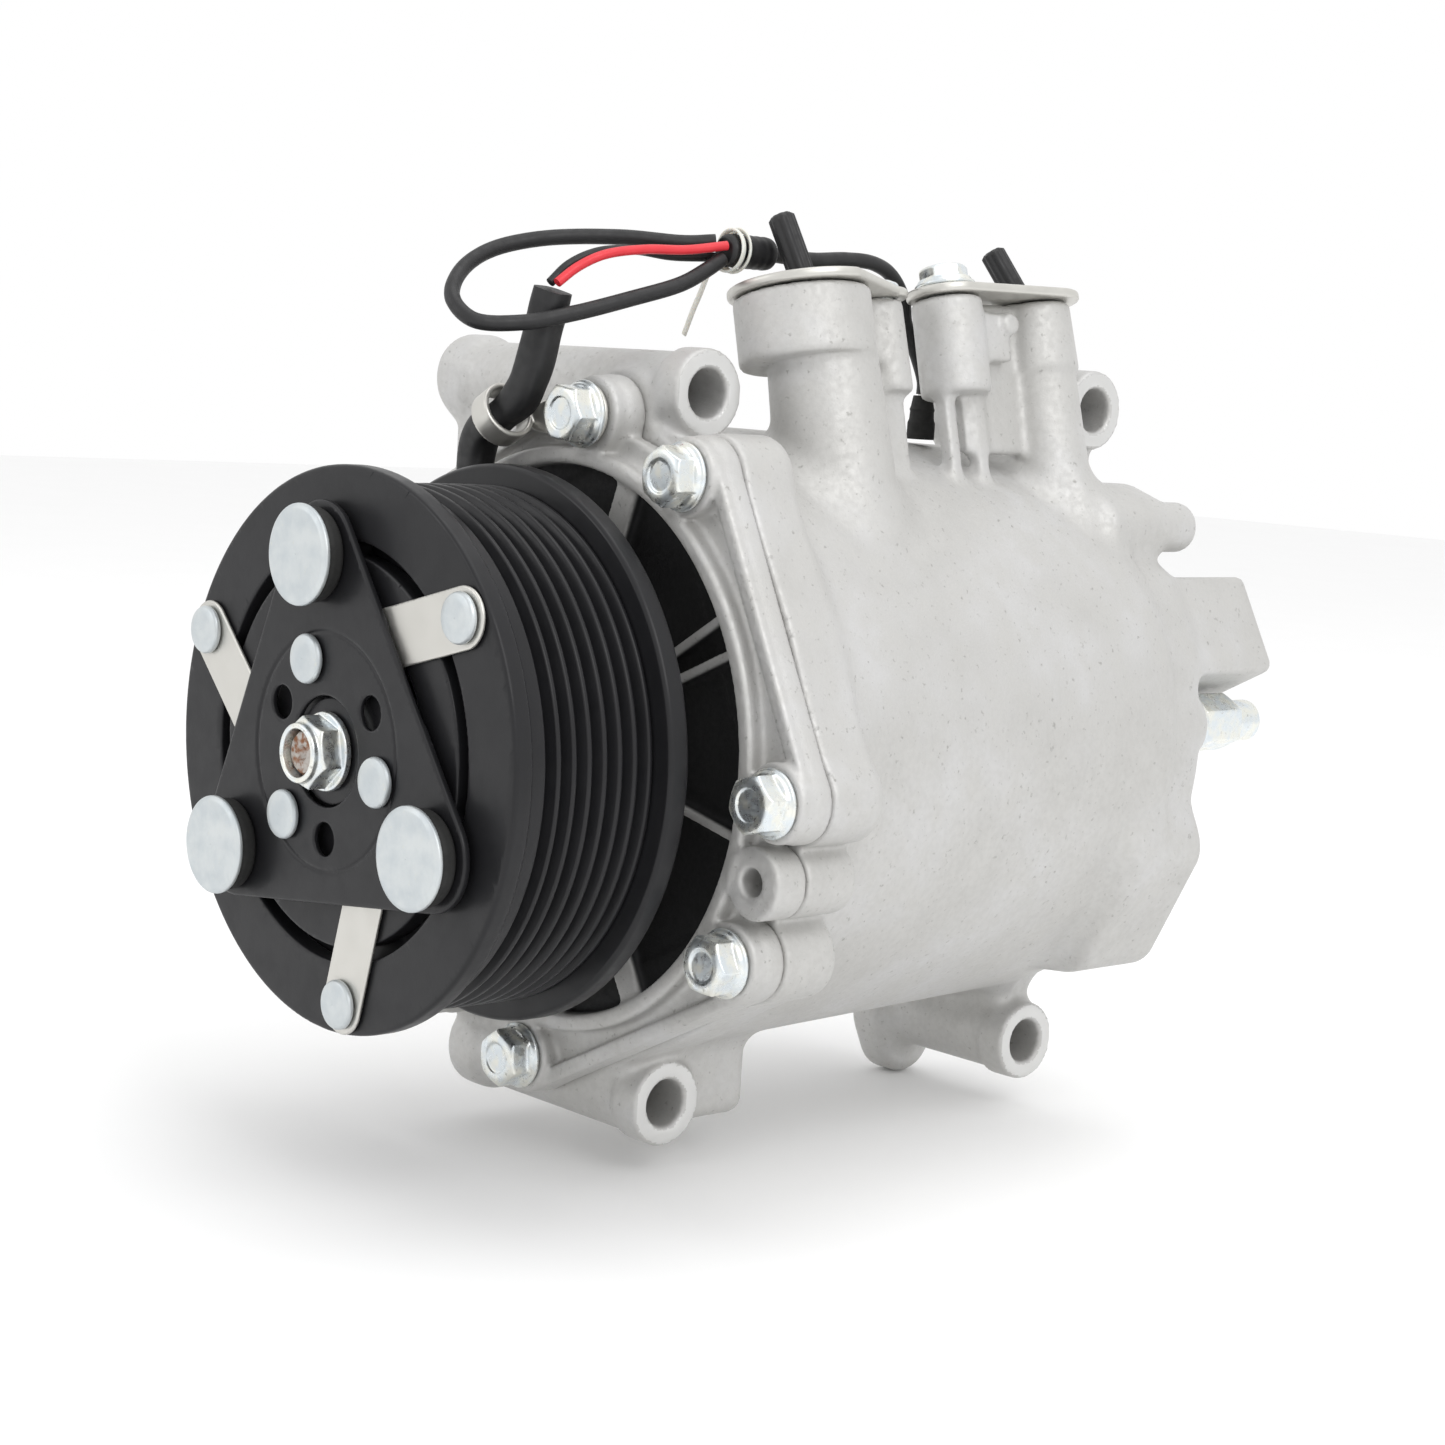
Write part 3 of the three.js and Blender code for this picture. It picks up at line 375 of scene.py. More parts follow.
SLOTS = {
    "cast_aluminium": cast_aluminium(),
    "black_steel": black_steel(),
    "zinc_steel": zinc_steel(),
    "bright_steel": bright_steel(),
    "bearing_steel": bearing_steel(),
    "black_rubber": black_rubber(),
    "black_plastic": black_plastic(),
    "red_plastic": red_plastic(),
    "white_plastic": white_plastic(),
    "coil_resin": coil_resin(),
}
MACHINED = machined_aluminium()
FRONT_CASTING_PAINTED_SHADE = cast_aluminium(dish=True)
CAP_STEEL = cap_steel()
RUSTY_STEEL = rusty_steel()


def piece(name, data, body, slot, *replaced, material=None, place=(0, 0, 0), turn=0.0):
    """A finished piece: placed in millimetres, turned about Y by degrees, riding on its body."""
    made = new_object(name, data)
    if not data.materials:
        data.materials.append(material or SLOTS[slot])
    made.location = Vector(place) * MM
    made.rotation_euler = (0, -math.radians(turn), 0)
    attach(made, body)
    if replaced:
        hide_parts(*replaced)
    return made


# ---------------------------------------------------------------- cords, on part.mjs's own routes
CABLE_D = 3.1
WIRE_D = 1.9
SPLICE_X, SPLICE_Z, SPLICE_R = 8, 98.5, 3.4
SPLICE_FRONT_Y, SPLICE_BACK_Y = 15.4, 28

LOOP_ROUTE = [
    (6.4, 14.4, 100), (2.8, 9.5, 99.4), (-5.2, -0.8, 99.7), (-12.4, -15.3, 98.2), (-15, -26, 95),
    (-13.6, -33.7, 90.4), (-9, -38.6, 85), (-3.5, -37.5, 81.2), (1.2, -29.5, 81.3), (4.2, -19.5, 83.7),
    (6.8, -7.5, 87.3), (8.6, 4, 91), (8.9, 9.5, 93.8), (8.6, 14.4, 96.6),
]
LEAD_ROUTE = [
    (8, 28.3, 98.5), (8, 40, 98.3), (8, 50, 99.1), (8, 58, 98.9), (7.6, 64, 96.8), (7.2, 68.5, 92),
    (5.6, 71.5, 87), (6.2, 75, 80.5), (7, 76.9, 75), (7, 77, 72.3),
]
RED_ROUTE = [
    (0.7, -21, 89.4), (1.3, -16.5, 92.8), (2.8, -11.3, 95.5), (4.8, -2.6, 97.2), (6.8, 6.4, 97.8),
    (9.3, 14.9, 99.3),
]
BLACK_ROUTE = [
    (-1.5, -21, 89.4), (-0.8, -17, 93.2), (0.7, -11.3, 96), (2.6, -3.5, 97), (4.1, 5, 96.5),
    (5.9, 14.9, 97),
]
SLEEVE_ROUTE = [
    (-14.5, -24, 37), (-19, -22.6, 46), (-20.5, -22.3, 54), (-18, -22.6, 60), (-11.5, -23.2, 63.3),
    (-6.8, -22.8, 66.8), (-4.2, -22.2, 72), (-2.2, -21.4, 81), (-0.5, -21, 88),
]


def smooth_line(route, per_span=10):
    """The centripetal Catmull-Rom curve through the points, as part.mjs runs it."""
    p = [np.array(q, float) for q in route]
    p = [2 * p[0] - p[1], *p, 2 * p[-1] - p[-2]]
    line = []
    for p0, p1, p2, p3 in zip(p, p[1:], p[2:], p[3:]):
        d0, d1, d2 = (math.sqrt(np.linalg.norm(b - a)) for a, b in ((p0, p1), (p1, p2), (p2, p3)))
        start = ((p1 - p0) / d0 - (p2 - p0) / (d0 + d1) + (p2 - p1) / d1) * d1
        end = ((p2 - p1) / d1 - (p3 - p1) / (d1 + d2) + (p3 - p2) / d2) * d1
        for i in range(per_span):
            t = i / per_span
            line.append(
                p1 * (2 * t**3 - 3 * t**2 + 1) + p2 * (3 * t**2 - 2 * t**3)
                + start * (t**3 - 2 * t**2 + t) + end * (t**3 - t**2)
            )
    return [*line, p[-2]]


def cord_piece(name, route, diameter, slot, node):
    line = smooth_line(route)
    data = bpy.data.curves.new(name, "CURVE")
    data.dimensions = "3D"
    data.bevel_depth = diameter / 2 * MM
    data.bevel_resolution = 6
    data.use_fill_caps = True
    spline = data.splines.new("POLY")
    spline.points.add(len(line) - 1)
    for point, at in zip(spline.points, line):
        point.co = (*(at * MM), 1)
    spline.use_smooth = True
    made = piece(name, data, "housing", slot, node)
    return made


cord_piece("cable_loop", LOOP_ROUTE, CABLE_D, "black_plastic", "loop_cable")
cord_piece("cable_lead", LEAD_ROUTE, CABLE_D, "black_plastic", "lead_cable")
cord_piece("wire_red", RED_ROUTE, WIRE_D, "red_plastic", "red_wire")
cord_piece("wire_black", BLACK_ROUTE, WIRE_D, "black_plastic", "black_wire")


# ---------------------------------------------------------------- solids as distances on a grid
def rounded_max(a, b, edge):
    """What two solids share, with the edge between their faces rounded to a radius."""
    if not edge:
        return np.maximum(a, b)
    return np.minimum(np.maximum(a, b), -edge) + np.hypot(np.maximum(a + edge, 0), np.maximum(b + edge, 0))


class Cast:
    """A solid as signed distances on a grid, in millimetres, so that its walls meet in real fillets."""

    def __init__(self, low, high, step):
        self.step = step
        self.low = np.array(low, float)
        self.axes = [np.arange(a, b + step, step, dtype=np.float32) for a, b in zip(low, high)]
        self.d = np.full([len(axis) for axis in self.axes], 99.0, np.float32)

    def window(self, low, high, reach):
        """The part of the grid within reach of a box: its index, and its coordinates."""
        index = []
        for axis, a, b in zip(self.axes, low, high):
            first = int(np.searchsorted(axis, a - reach))
            last = int(np.searchsorted(axis, b + reach))
            index.append(slice(first, max(last, first + 1)))
        x, y, z = (axis[part] for axis, part in zip(self.axes, index))
        return tuple(index), x[:, None, None], y[None, :, None], z[None, None, :]

    def add(self, shape, fillet=0.0):
        low, high, distance = shape
        index, x, y, z = self.window(low, high, fillet + 4 * self.step)
        old = self.d[index]
        new = distance(x, y, z)
        if fillet:
            corner = np.hypot(np.maximum(fillet - old, 0), np.maximum(fillet - new, 0))
            self.d[index] = np.maximum(fillet, np.minimum(old, new)) - corner
        else:
            self.d[index] = np.minimum(old, new)

    def cut(self, shape, edge=0.0):
        low, high, distance = shape
        index, x, y, z = self.window(low, high, edge + 4 * self.step)
        self.d[index] = rounded_max(self.d[index], -distance(x, y, z), edge)

    def normals_at(self, points):
        """The direction out of the solid at points given in grid steps."""
        cell = np.clip(points.astype(int), 1, np.array(self.d.shape) - 3)
        share = np.clip(points - cell, 0, 1)
        total = np.zeros_like(points)
        for corner in np.ndindex(2, 2, 2):
            at = cell + corner
            weight = np.prod(np.where(corner, share, 1 - share), axis=1)
            slope = [
                self.d[tuple((at + step).T)] - self.d[tuple((at - step).T)] for step in np.eye(3, dtype=int)
            ]
            total += weight[:, None] * np.stack(slope, axis=1)
        return total / np.maximum(np.linalg.norm(total, axis=1), 1e-9)[:, None]

    def mesh(self, name, coarser=0.0):
        band = 3 * self.step
        grid = vdb.FloatGrid()
        grid.background = band
        grid.copyFromArray(np.clip(self.d, -band, band))
        points, triangles, quads = grid.convertToPolygons(isovalue=0.0, adaptivity=coarser)
        normals = self.normals_at(points)
        made = bpy.data.meshes.new(name)
        faces = triangles.tolist() + quads.tolist()
        made.from_pydata(((points * self.step + self.low) * MM).tolist(), [], faces)
        made.shade_smooth()
        made.normals_split_custom_set_from_vertices(normals.tolist())
        return made


def rod(axis, radius, start, end, a, b, edge=0.5, end_radius=None):
    """A round bar or cone along an axis; a and b are its centre on the other two."""
    middle, half = (start + end) / 2, (end - start) / 2
    slope = 0 if end_radius is None else (end_radius - radius) / (end - start)
    wide = max(radius, end_radius or radius)
    spans = {
        "x": ((start, a - wide, b - wide), (end, a + wide, b + wide)),
        "y": ((a - wide, start, b - wide), (a + wide, end, b + wide)),
        "z": ((a - wide, b - wide, start), (a + wide, b + wide, end)),
    }

    def distance(x, y, z):
        along, u, v = {"x": (x, y, z), "y": (y, x, z), "z": (z, x, y)}[axis]
        radial = np.hypot(u - a, v - b) - radius - slope * (along - start)
        return rounded_max(radial, np.abs(along - middle) - half, edge)

    return (*spans[axis], distance)


def block(low, high, edge=1.0, turn=0.0):
    """A box with rounded edges, turned about the shaft's axis by turn degrees."""
    c, s = math.cos(math.radians(turn)), math.sin(math.radians(turn))
    middle = [(a + b) / 2 for a, b in zip(low, high)]
    half = [(b - a) / 2 - edge for a, b in zip(low, high)]
    us, vs = zip(*[(u * c - v * s, u * s + v * c) for u in (low[0], high[0]) for v in (low[2], high[2])])

    def distance(x, y, z):
        du = np.abs(x * c + z * s - middle[0]) - half[0]
        dy = np.abs(y - middle[1]) - half[1]
        dv = np.abs(z * c - x * s - middle[2]) - half[2]
        outside = np.sqrt(np.maximum(du, 0) ** 2 + np.maximum(dy, 0) ** 2 + np.maximum(dv, 0) ** 2)
        return outside + np.minimum(np.maximum(np.maximum(du, dv), dy), 0) - edge

    return (min(us), low[1], min(vs)), (max(us), high[1], max(vs)), distance


def plate(outline, reach, y0, y1, edge=0.5):
    """A plate across the shaft's axis; outline gives the distance to its edge in X and Z."""
    middle, half = (y0 + y1) / 2, (y1 - y0) / 2

    def distance(x, y, z):
        return rounded_max(outline(x, z), np.abs(y - middle) - half, edge)

    return (-reach, y0, -reach), (reach, y1, reach), distance


def turned(profile, y0, y1, edge=0.5):
    """A body turned about the shaft's axis; profile gives its radius at each y."""
    ys, radii = zip(*profile)
    middle, half, reach = (y0 + y1) / 2, (y1 - y0) / 2, max(radii)

    def distance(x, y, z):
        radial = np.hypot(x, z) - np.interp(y, ys, radii).astype(np.float32)
        return rounded_max(radial, np.abs(y - middle) - half, edge)

    return (-reach, y0, -reach), (reach, y1, reach), distance


def bar(start, end, radius, end_radius=None):
    """The distance, in a plane, to a bar with round ends about two points."""
    (ax, az), (bx, bz) = start, end
    length2 = (bx - ax) ** 2 + (bz - az) ** 2
    grow = 0 if end_radius is None else end_radius - radius

    def outline(x, z):
        t = np.clip(((x - ax) * (bx - ax) + (z - az) * (bz - az)) / length2, 0, 1)
        return np.hypot(x - ax - t * (bx - ax), z - az - t * (bz - az)) - radius - grow * t

    return outline


def polygon(corners):
    """The distance, in a plane, to a convex polygon, its corners given anticlockwise."""
    sides = []
    for (ax, az), (bx, bz) in zip(corners, [*corners[1:], corners[0]]):
        length = math.hypot(bx - ax, bz - az)
        sides.append((ax, az, (bz - az) / length, -(bx - ax) / length))

    def outline(x, z):
        return np.max([(x - ax) * nx + (z - az) * nz for ax, az, nx, nz in sides], axis=0)

    return outline


def leaned(shape):
    """A shape of the upright ports, leaned as they are."""
    low, high, distance = shape
    c, s = math.cos(PORT_LEAN), math.sin(PORT_LEAN)
    corners = [(x - PORT_PIVOT_X, z - PORT_PIVOT_Z) for x in (low[0], high[0]) for z in (low[2], high[2])]
    xs = [PORT_PIVOT_X + u * c - w * s for u, w in corners]
    zs = [PORT_PIVOT_Z + u * s + w * c for u, w in corners]

    def slanted(x, y, z):
        u, w = x - PORT_PIVOT_X, z - PORT_PIVOT_Z
        return distance(PORT_PIVOT_X + u * c + w * s, y, PORT_PIVOT_Z - u * s + w * c)

    return (min(xs), low[1], min(zs)), (max(xs), high[1], max(zs)), slanted


def hexagon(x, z, flats):
    """The distance, in a plane, to a hexagon about the origin, flats across."""
    across = [np.abs(x * math.cos(a) + z * math.sin(a)) for a in (0, TAU / 6, TAU / 3)]
    return np.maximum(np.maximum(across[0], across[1]), across[2]) - flats / 2


# ---------------------------------------------------------------- the two housings
BOLT_CENTRES = [polar(BOLT_CIRCLE_R, angle) for angle in BOLT_ANGLES]
STRAIGHT_EDGES = [(1, 2), (3, 4), (5, 6), (7, 0)]  # bolts that the flange's edge runs straight between


def add_flange(cast, y0, y1, lobe_y0, lobe_y1, edge, fillet):
    """A disc with a lobe at each bolt and at the plain hole, and straight edges between some."""
    cast.add(rod("y", 62.5, y0, y1, 0, 0, edge), fillet)
    for a, b in STRAIGHT_EDGES:
        cast.add(plate(bar(BOLT_CENTRES[a], BOLT_CENTRES[b], BOLT_LOBE_R), 75, y0, y1, edge), fillet)
    for x, z in BOLT_CENTRES:
        cast.add(rod("y", BOLT_LOBE_R, lobe_y0, lobe_y1, x, z, edge), fillet)
    x, z = polar(BOLT_CIRCLE_R - 1.5, PLAIN_HOLE_ANGLE)
    cast.add(rod("y", BOLT_LOBE_R - 0.6, lobe_y0, lobe_y1, x, z, edge), fillet)


def add_rails(cast, y0, y1, width=3.2):
    """A raised rail along each straight edge of the front flange, beside the seam."""
    for a, b in STRAIGHT_EDGES:
        start, end = np.array(BOLT_CENTRES[a]), np.array(BOLT_CENTRES[b])
        along = (end - start) / np.linalg.norm(end - start)
        out = np.array([along[1], -along[0]])
        out *= np.sign(out @ start) * (BOLT_LOBE_R - width / 2)
        cast.add(plate(bar(start + out, end + out, width / 2), 80, y0, y1, 0.6), 0.8)


def cut_flange_holes(cast, y0, y1):
    x, z = polar(BOLT_CIRCLE_R - 2, PLAIN_HOLE_ANGLE)
    cast.cut(rod("y", 2.7, y0, y1, x, z, 0.1), 0.7)
    for x, z in BOLT_CENTRES:
        cast.cut(rod("y", 3.4, y0, y1, x, z, 0.1), 0.4)


def add_lug(cast, y, z, far_x, ring_fillet=1.2):
    """A tube along X with a ring boss at its face and a thicker far end, on a web down to the barrel."""
    root = (38, z) if z > 0 else (z, -38)
    cast.add(block((far_x + 3, y - 5.2, root[0]), (LUG_FACE_X - 4, y + 5.2, root[1]), 2.5), 6)
    cast.add(rod("x", LUG_R - 0.9, far_x + 1, LUG_FACE_X - 2, y, z, 2), 4)
    cast.add(rod("x", LUG_R, far_x, far_x + 9, y, z, 2.2), 3)
    cast.add(rod("x", LUG_R, LUG_FACE_X - 7, LUG_FACE_X, y, z, 0.5), ring_fillet)


def add_suction_port(cast):
    x, y, top, bolt_x, bolt_y = (SUCTION[key] for key in ("x", "y", "top", "bolt_x", "bolt_y"))
    cast.add(leaned(rod("z", 12.6, 40, 77, x + 1, y + 2, 0.5, end_radius=11.2)), 5)
    cast.add(leaned(rod("z", 13.9, 76.6, top, x, y - 1, 1.0)), 0.9)
    cast.add(leaned(block((17, y + 8, 78), (23, bolt_y, top), 0.6)), 1.6)
    cast.add(leaned(rod("z", 5.0, 71.5, top, bolt_x, bolt_y, 0.8, end_radius=4.6)), 1.4)
    cast.add(leaned(block((18.6, bolt_y - 7, 50), (21.4, bolt_y + 3, 75), 0.9)), 2)


def add_discharge_port(cast):
    x, y, top, bolt_x, bolt_y = (DISCHARGE[key] for key in ("x", "y", "top", "bolt_x", "bolt_y"))
    cast.add(leaned(rod("z", 9.2, 40, 79, x, y, 0.5, end_radius=8.0)), 4)
    cast.add(leaned(rod("z", 8.9, 77.5, top, x, y, 1.0, end_radius=8.3)), 0.7)
    cast.add(leaned(rod("z", 7.5, 72, top, bolt_x, bolt_y, 1.2)), 0)
    cast.add(leaned(block((x - 1.2, bolt_y, 60), (x + 1.4, y, top - 0.3), 0.6)), 1.4)
    cast.add(leaned(rod("x", 2.4, x, x + 7.0, 83.5, 87, 0.9)), 1.2)
    cast.add(leaned(block((x + 1.0, bolt_y + 5.5, 79), (x + 5.5, 84, 89.4), 0.8)), 1.0)
    for rib_y in (bolt_y - 4.4, bolt_y + 4.2):
        cast.add(leaned(block((x - 1.2, rib_y - 1.7, 50), (x + 2.2, rib_y + 1.7, 74), 0.9)), 2)


def add_rear_bosses(cast):
    """The closed end: an angled box, a filler knob, pads, the valve's boss and stiffening ribs."""
    for angle in (100, 150, 200, 250, 300):
        cast.add(block((16, 112, -1.5), (50, REAR_Y + 2.5, 1.5), 1.2, turn=angle), 2.5)
    cast.add(rod("y", 20, 112, REAR_Y + 4, 0, 0, 1.5), 3)
    cast.add(rod("y", 9, 96, REAR_Y + 1, 30.5, 46.5, 2), 5)
    cast.add(plate(bar((53, -22), (42, -42), 7, 8), 60, 96, REAR_Y, 2), 6)
    cast.add(rod("y", 8, 100, REAR_Y + 3, VALVE_X, VALVE_Z, 1.2), 3)
    cast.add(rod("y", 5.5, 100, 130, 38, 46.5, 2.4), 4)
    cast.add(block((38, 100, -11.5), (56.6, 146, 11.5), 2.2, turn=28), 4)


def add_feet(cast):
    """The gusset behind the lower front lug, and the pad under the far end of the lower rear one."""
    cast.add(block((3, 0, -77.4), (19, 26, -45), 3.5), 4)
    y, z, far_x = LUGS[3]
    cast.add(rod("x", LUG_R, far_x + 2, far_x + 11, y, z - 6.6, 2.4), 4)


def main_housing():
    cast = Cast(MAIN_LOW - 2, MAIN_HIGH + 2, 0.75)
    barrel = [(-12, 64), (0, 63.9), (102, 61.1), (105.5, 60.4), (107.5, 58.9), (115, 58.4), (REAR_Y, 57.5)]
    cast.add(turned(barrel, -12, REAR_Y, 3))
    add_flange(cast, -12, 4.5, -12, 4.5, 1.8, 2.6)
    for y, z, far_x in LUGS:
        add_lug(cast, y, z, far_x)
    add_suction_port(cast)
    add_discharge_port(cast)
    add_rear_bosses(cast)
    add_feet(cast)
    cast.cut(turned([(-20, 56), (60, 56), (62, 53), (112, 53)], -20, 112, 1), 0.5)
    for y, z, far_x in LUGS:
        cast.cut(rod("x", LUG_HOLE_R, far_x - 4, LUG_FACE_X + 4, y, z, 0.1), 0.7)
    for port, screw_r in ((SUCTION, 3.2), (DISCHARGE, 4.2)):
        above = port["top"] + 4
        cast.cut(leaned(rod("z", port["hole"], 50, above, port["x"], port["y"], 0.1)), 0.6)
        cast.cut(leaned(rod("z", screw_r, 78, above, port["bolt_x"], port["bolt_y"], 0.1)), 0.5)
    cast.cut(rod("y", 4.3, 108, REAR_Y + 6, VALVE_X, VALVE_Z, 0.1), 0.5)
    cut_flange_holes(cast, -12, 3.5)
    cast.cut(block((-90, -30, -90), (90, PARTING_Y + 0.35, 90), 0.1), 0.5)
    return cast.mesh("main_housing_cast", 0.004)


def front_housing():
    cast = Cast(FRONT_LOW - 2, FRONT_HIGH + 2, 0.6)
    cast.add(rod("y", DISH_R + 3.4, SEAT_Y, PARTING_Y, 0, 0, 1.0))
    cast.add(rod("y", SPIGOT_R, PARTING_Y - 1, SPIGOT_BACK_Y, 0, 0, 0.6))
    dish_profile = [(-20, DISH_R), (THIN_FLANGE_Y, DISH_R), (PARTING_Y, 51.6), (DISH_FLOOR_Y, 50)]
    dish = turned(dish_profile, -20, DISH_FLOOR_Y, 0.4)
    cast.cut(dish, 0.8)
    shoulder = [(-30, 33), (-22, 33), (-8.3, 36), (DISH_FLOOR_Y, 37.5), (SPIGOT_BACK_Y, 40)]
    cast.add(turned(shoulder, -30, SPIGOT_BACK_Y, 1.2), 0.8)
    ribs = [(71, 6), (32, 1.9), (24.6, 1.9), (-12, 1.9), (-60, 6), (-84, 1.9), (150, 1.9), (210, 1.9)]
    for angle, width in ribs:
        cast.add(block((31, SEAT_Y + 1.2, -width / 2), (56, -4, width / 2), 0.7, turn=angle), 1.0)
    cast.add(rod("y", NOSE_R, NOSE_Y, -25, 0, 0, 0.8), 2)
    add_flange(cast, THIN_FLANGE_Y, PARTING_Y, SEAT_Y, PARTING_Y, 0.7, 1.2)
    add_rails(cast, RAIL_Y, PARTING_Y)
    bores = [(14.5, -62, -46.5), (9.5, -48, -32), (15, -34, -19), (26, -20.5, -4), (32, -6.2, 2)]
    for radius, y0, y1 in bores:
        cast.cut(rod("y", radius, y0, y1, 0, 0, 0.1), 0.4)
    cut_flange_holes(cast, -22, -4)
    return cast.mesh("front_housing_cast", 0.004)


def mark_faces(data, chosen):
    """Gives the machined finish to the faces that chosen(centre in mm, normal) picks."""
    data.materials.append(SLOTS["cast_aluminium"])
    data.materials.append(MACHINED)
    for face in data.polygons:
        if chosen(face.center / MM, face.normal):
            face.material_index = 1


def is_lug_face(at, normal):
    near_lug = any(math.hypot(at.y - y, at.z - z) < LUG_R + 0.4 for y, z, _ in LUGS)
    return near_lug and abs(at.x - LUG_FACE_X) < 0.3 and normal.x > 0.9


main_mesh = main_housing()
mark_faces(main_mesh, is_lug_face)
piece("main_housing_cast", main_mesh, "housing", "cast_aluminium", "main_housing")
front_mesh = front_housing()
piece("front_housing_cast", front_mesh, "housing", "cast_aluminium", "front_housing",
      material=FRONT_CASTING_PAINTED_SHADE)


# ---------------------------------------------------------------- screws, nut, valve
def add_hex_head(cast, y_top, y_base, flats, chamfer_r, edge=0.3):
    """A hexagon whose outer end is turned down to a circle; y_top is the outer end."""
    def distance(x, y, z):
        cone = np.hypot(x, z) - chamfer_r - 1.7 * (y - y_top)
        ends = np.abs(y - (y_top + y_base) / 2) - (y_base - y_top) / 2
        across = rounded_max(hexagon(x, z, flats), ends, edge)
        return rounded_max(across, cone * 0.507, edge)

    reach = flats * 0.6
    cast.add(((-reach, y_top, -reach), (reach, y_base, reach), distance), 0.25)


def flange_bolt(name, flats, flange_r, height, shank_r, shank):
    """A hexagon flange screw that points along -Y, its seat at y = 0."""
    reach = flange_r + 1
    cast = Cast((-reach, -height - 1, -reach), (reach, shank + 1, reach), 0.2)
    cast.add(rod("y", shank_r, -1, shank, 0, 0, 0.3))
    cast.add(rod("y", flange_r - 0.9, -1.9, -0.2, 0, 0, 0.3, end_radius=flange_r))
    cast.add(rod("y", flange_r, -0.9, 0, 0, 0, 0.35), 0.2)
    add_hex_head(cast, -height, -1, flats, flats * 0.46)
    cast.cut(rod("y", flats * 0.33, -height - 1, -height + 0.35, 0, 0, 0.1, end_radius=flats * 0.3), 0.3)
    return cast.mesh(name, 0.002)


def housing_bolts():
    data = flange_bolt("flange_bolt", 10.2, 6.6, 6.1, 3, 12)
    for i, (x, z) in enumerate(BOLT_CENTRES):
        seat_y = SEAT_Y - GAP - (CLIP_UNDER_BOLT if i == 0 else 0)
        piece(f"flange_bolt_{i + 1}", data, "housing", "zinc_steel", f"housing_bolt_{i + 1}",
              place=(x, seat_y, z), turn=23 + 41 * i)


def shaft_nut():
    """A flange nut with a round collar at its front, and the thread's chamfer in the bore."""
    cast = Cast((-9, -9, -9), (9, 1.5, 9), 0.18)
    cast.add(rod("y", 7.45, -1.5, 0, 0, 0, 0.4))
    add_hex_head(cast, -5.9, -1, 12, 5.9)
    cast.add(rod("y", 5.6, -7.4, -3, 0, 0, 0.45), 0.5)
    cast.cut(rod("y", 4.5, -12, 2, 0, 0, 0.1), 0.35)
    seat_y = corners_mm("shaft_nut")[1][1]
    piece("flange_nut", cast.mesh("flange_nut", 0.002), "shaft", "zinc_steel", "shaft_nut",
          place=(0, seat_y, 0), turn=12)


def relief_valve():
    """A hexagon with a turned nozzle, screwed into the closed end, in the zinc finish."""
    cast = Cast((-8, -27.5, -8), (8, 8.5, 8), 0.22)
    cast.add(rod("y", 3.9, -4, 7, 0, 0, 0.4))
    cast.add(rod("y", 6.6, -5, -3.6, 0, 0, 0.4), 0.2)
    add_hex_head(cast, -18, -5.2, 11.2, 5.4)
    cast.add(rod("y", 4.6, -26, -17, 0, 0, 0.6), 0.4)
    cast.cut(rod("y", 2.2, -30, -21, 0, 0, 0.1), 0.4)
    made = piece("relief_valve_hex", cast.mesh("relief_valve_hex", 0.002), "housing", "zinc_steel",
                 "relief_valve", place=(VALVE_X, REAR_Y, VALVE_Z))
    made.rotation_euler = (0, 0, math.pi)


housing_bolts()
shaft_nut()
relief_valve()


# ---------------------------------------------------------------- turned pieces
def rounded(points, radius, steps=4):
    """A closed outline with each corner rounded, where its sides are long enough."""
    outline = []
    for before, at, after in zip([points[-1], *points[:-1]], points, [*points[1:], points[0]]):
        p, a, b = (np.array(v, float) for v in (at, before, after))
        to_a, to_b = np.linalg.norm(a - p), np.linalg.norm(b - p)
        r = min(radius, 0.4 * to_a, 0.4 * to_b)
        start, end = p + (a - p) / to_a * r, p + (b - p) / to_b * r
        for i in range(steps + 1):
            t = i / steps
            outline.append((1 - t) ** 2 * start + 2 * t * (1 - t) * p + t**2 * end)
    return outline


def lathe(name, outline, segments=128, sharp=40):
    """A mesh turned about Y from a closed outline of (radius, y) in mm; a radius of 0 closes on the axis."""
    points, faces = [], []
    count = len(outline)
    for i in range(segments):
        c, s = math.cos(TAU * i / segments), math.sin(TAU * i / segments)
        points += [(r * c * MM, y * MM, r * s * MM) for r, y in outline]
    for i in range(segments):
        here, there = i * count, (i + 1) % segments * count
        for j in range(count):
            k = (j + 1) % count
            faces.append((here + j, there + j, there + k, here + k))
    made = bpy.data.meshes.new(name)
    made.from_pydata(points, [], faces)
    tidy_mesh(made, sharp)
    return made


def tidy_mesh(data, sharp):
    """Merges doubled points, turns the faces outwards and shades smooth up to an angle."""
    work = bmesh.new()
    work.from_mesh(data)
    bmesh.ops.remove_doubles(work, verts=work.verts, dist=1e-6)
    bmesh.ops.dissolve_degenerate(work, edges=work.edges, dist=1e-7)
    bmesh.ops.recalc_face_normals(work, faces=work.faces)
    work.to_mesh(data)
    work.free()
    data.shade_smooth()
    data.set_sharp_from_angle(angle=math.radians(sharp))


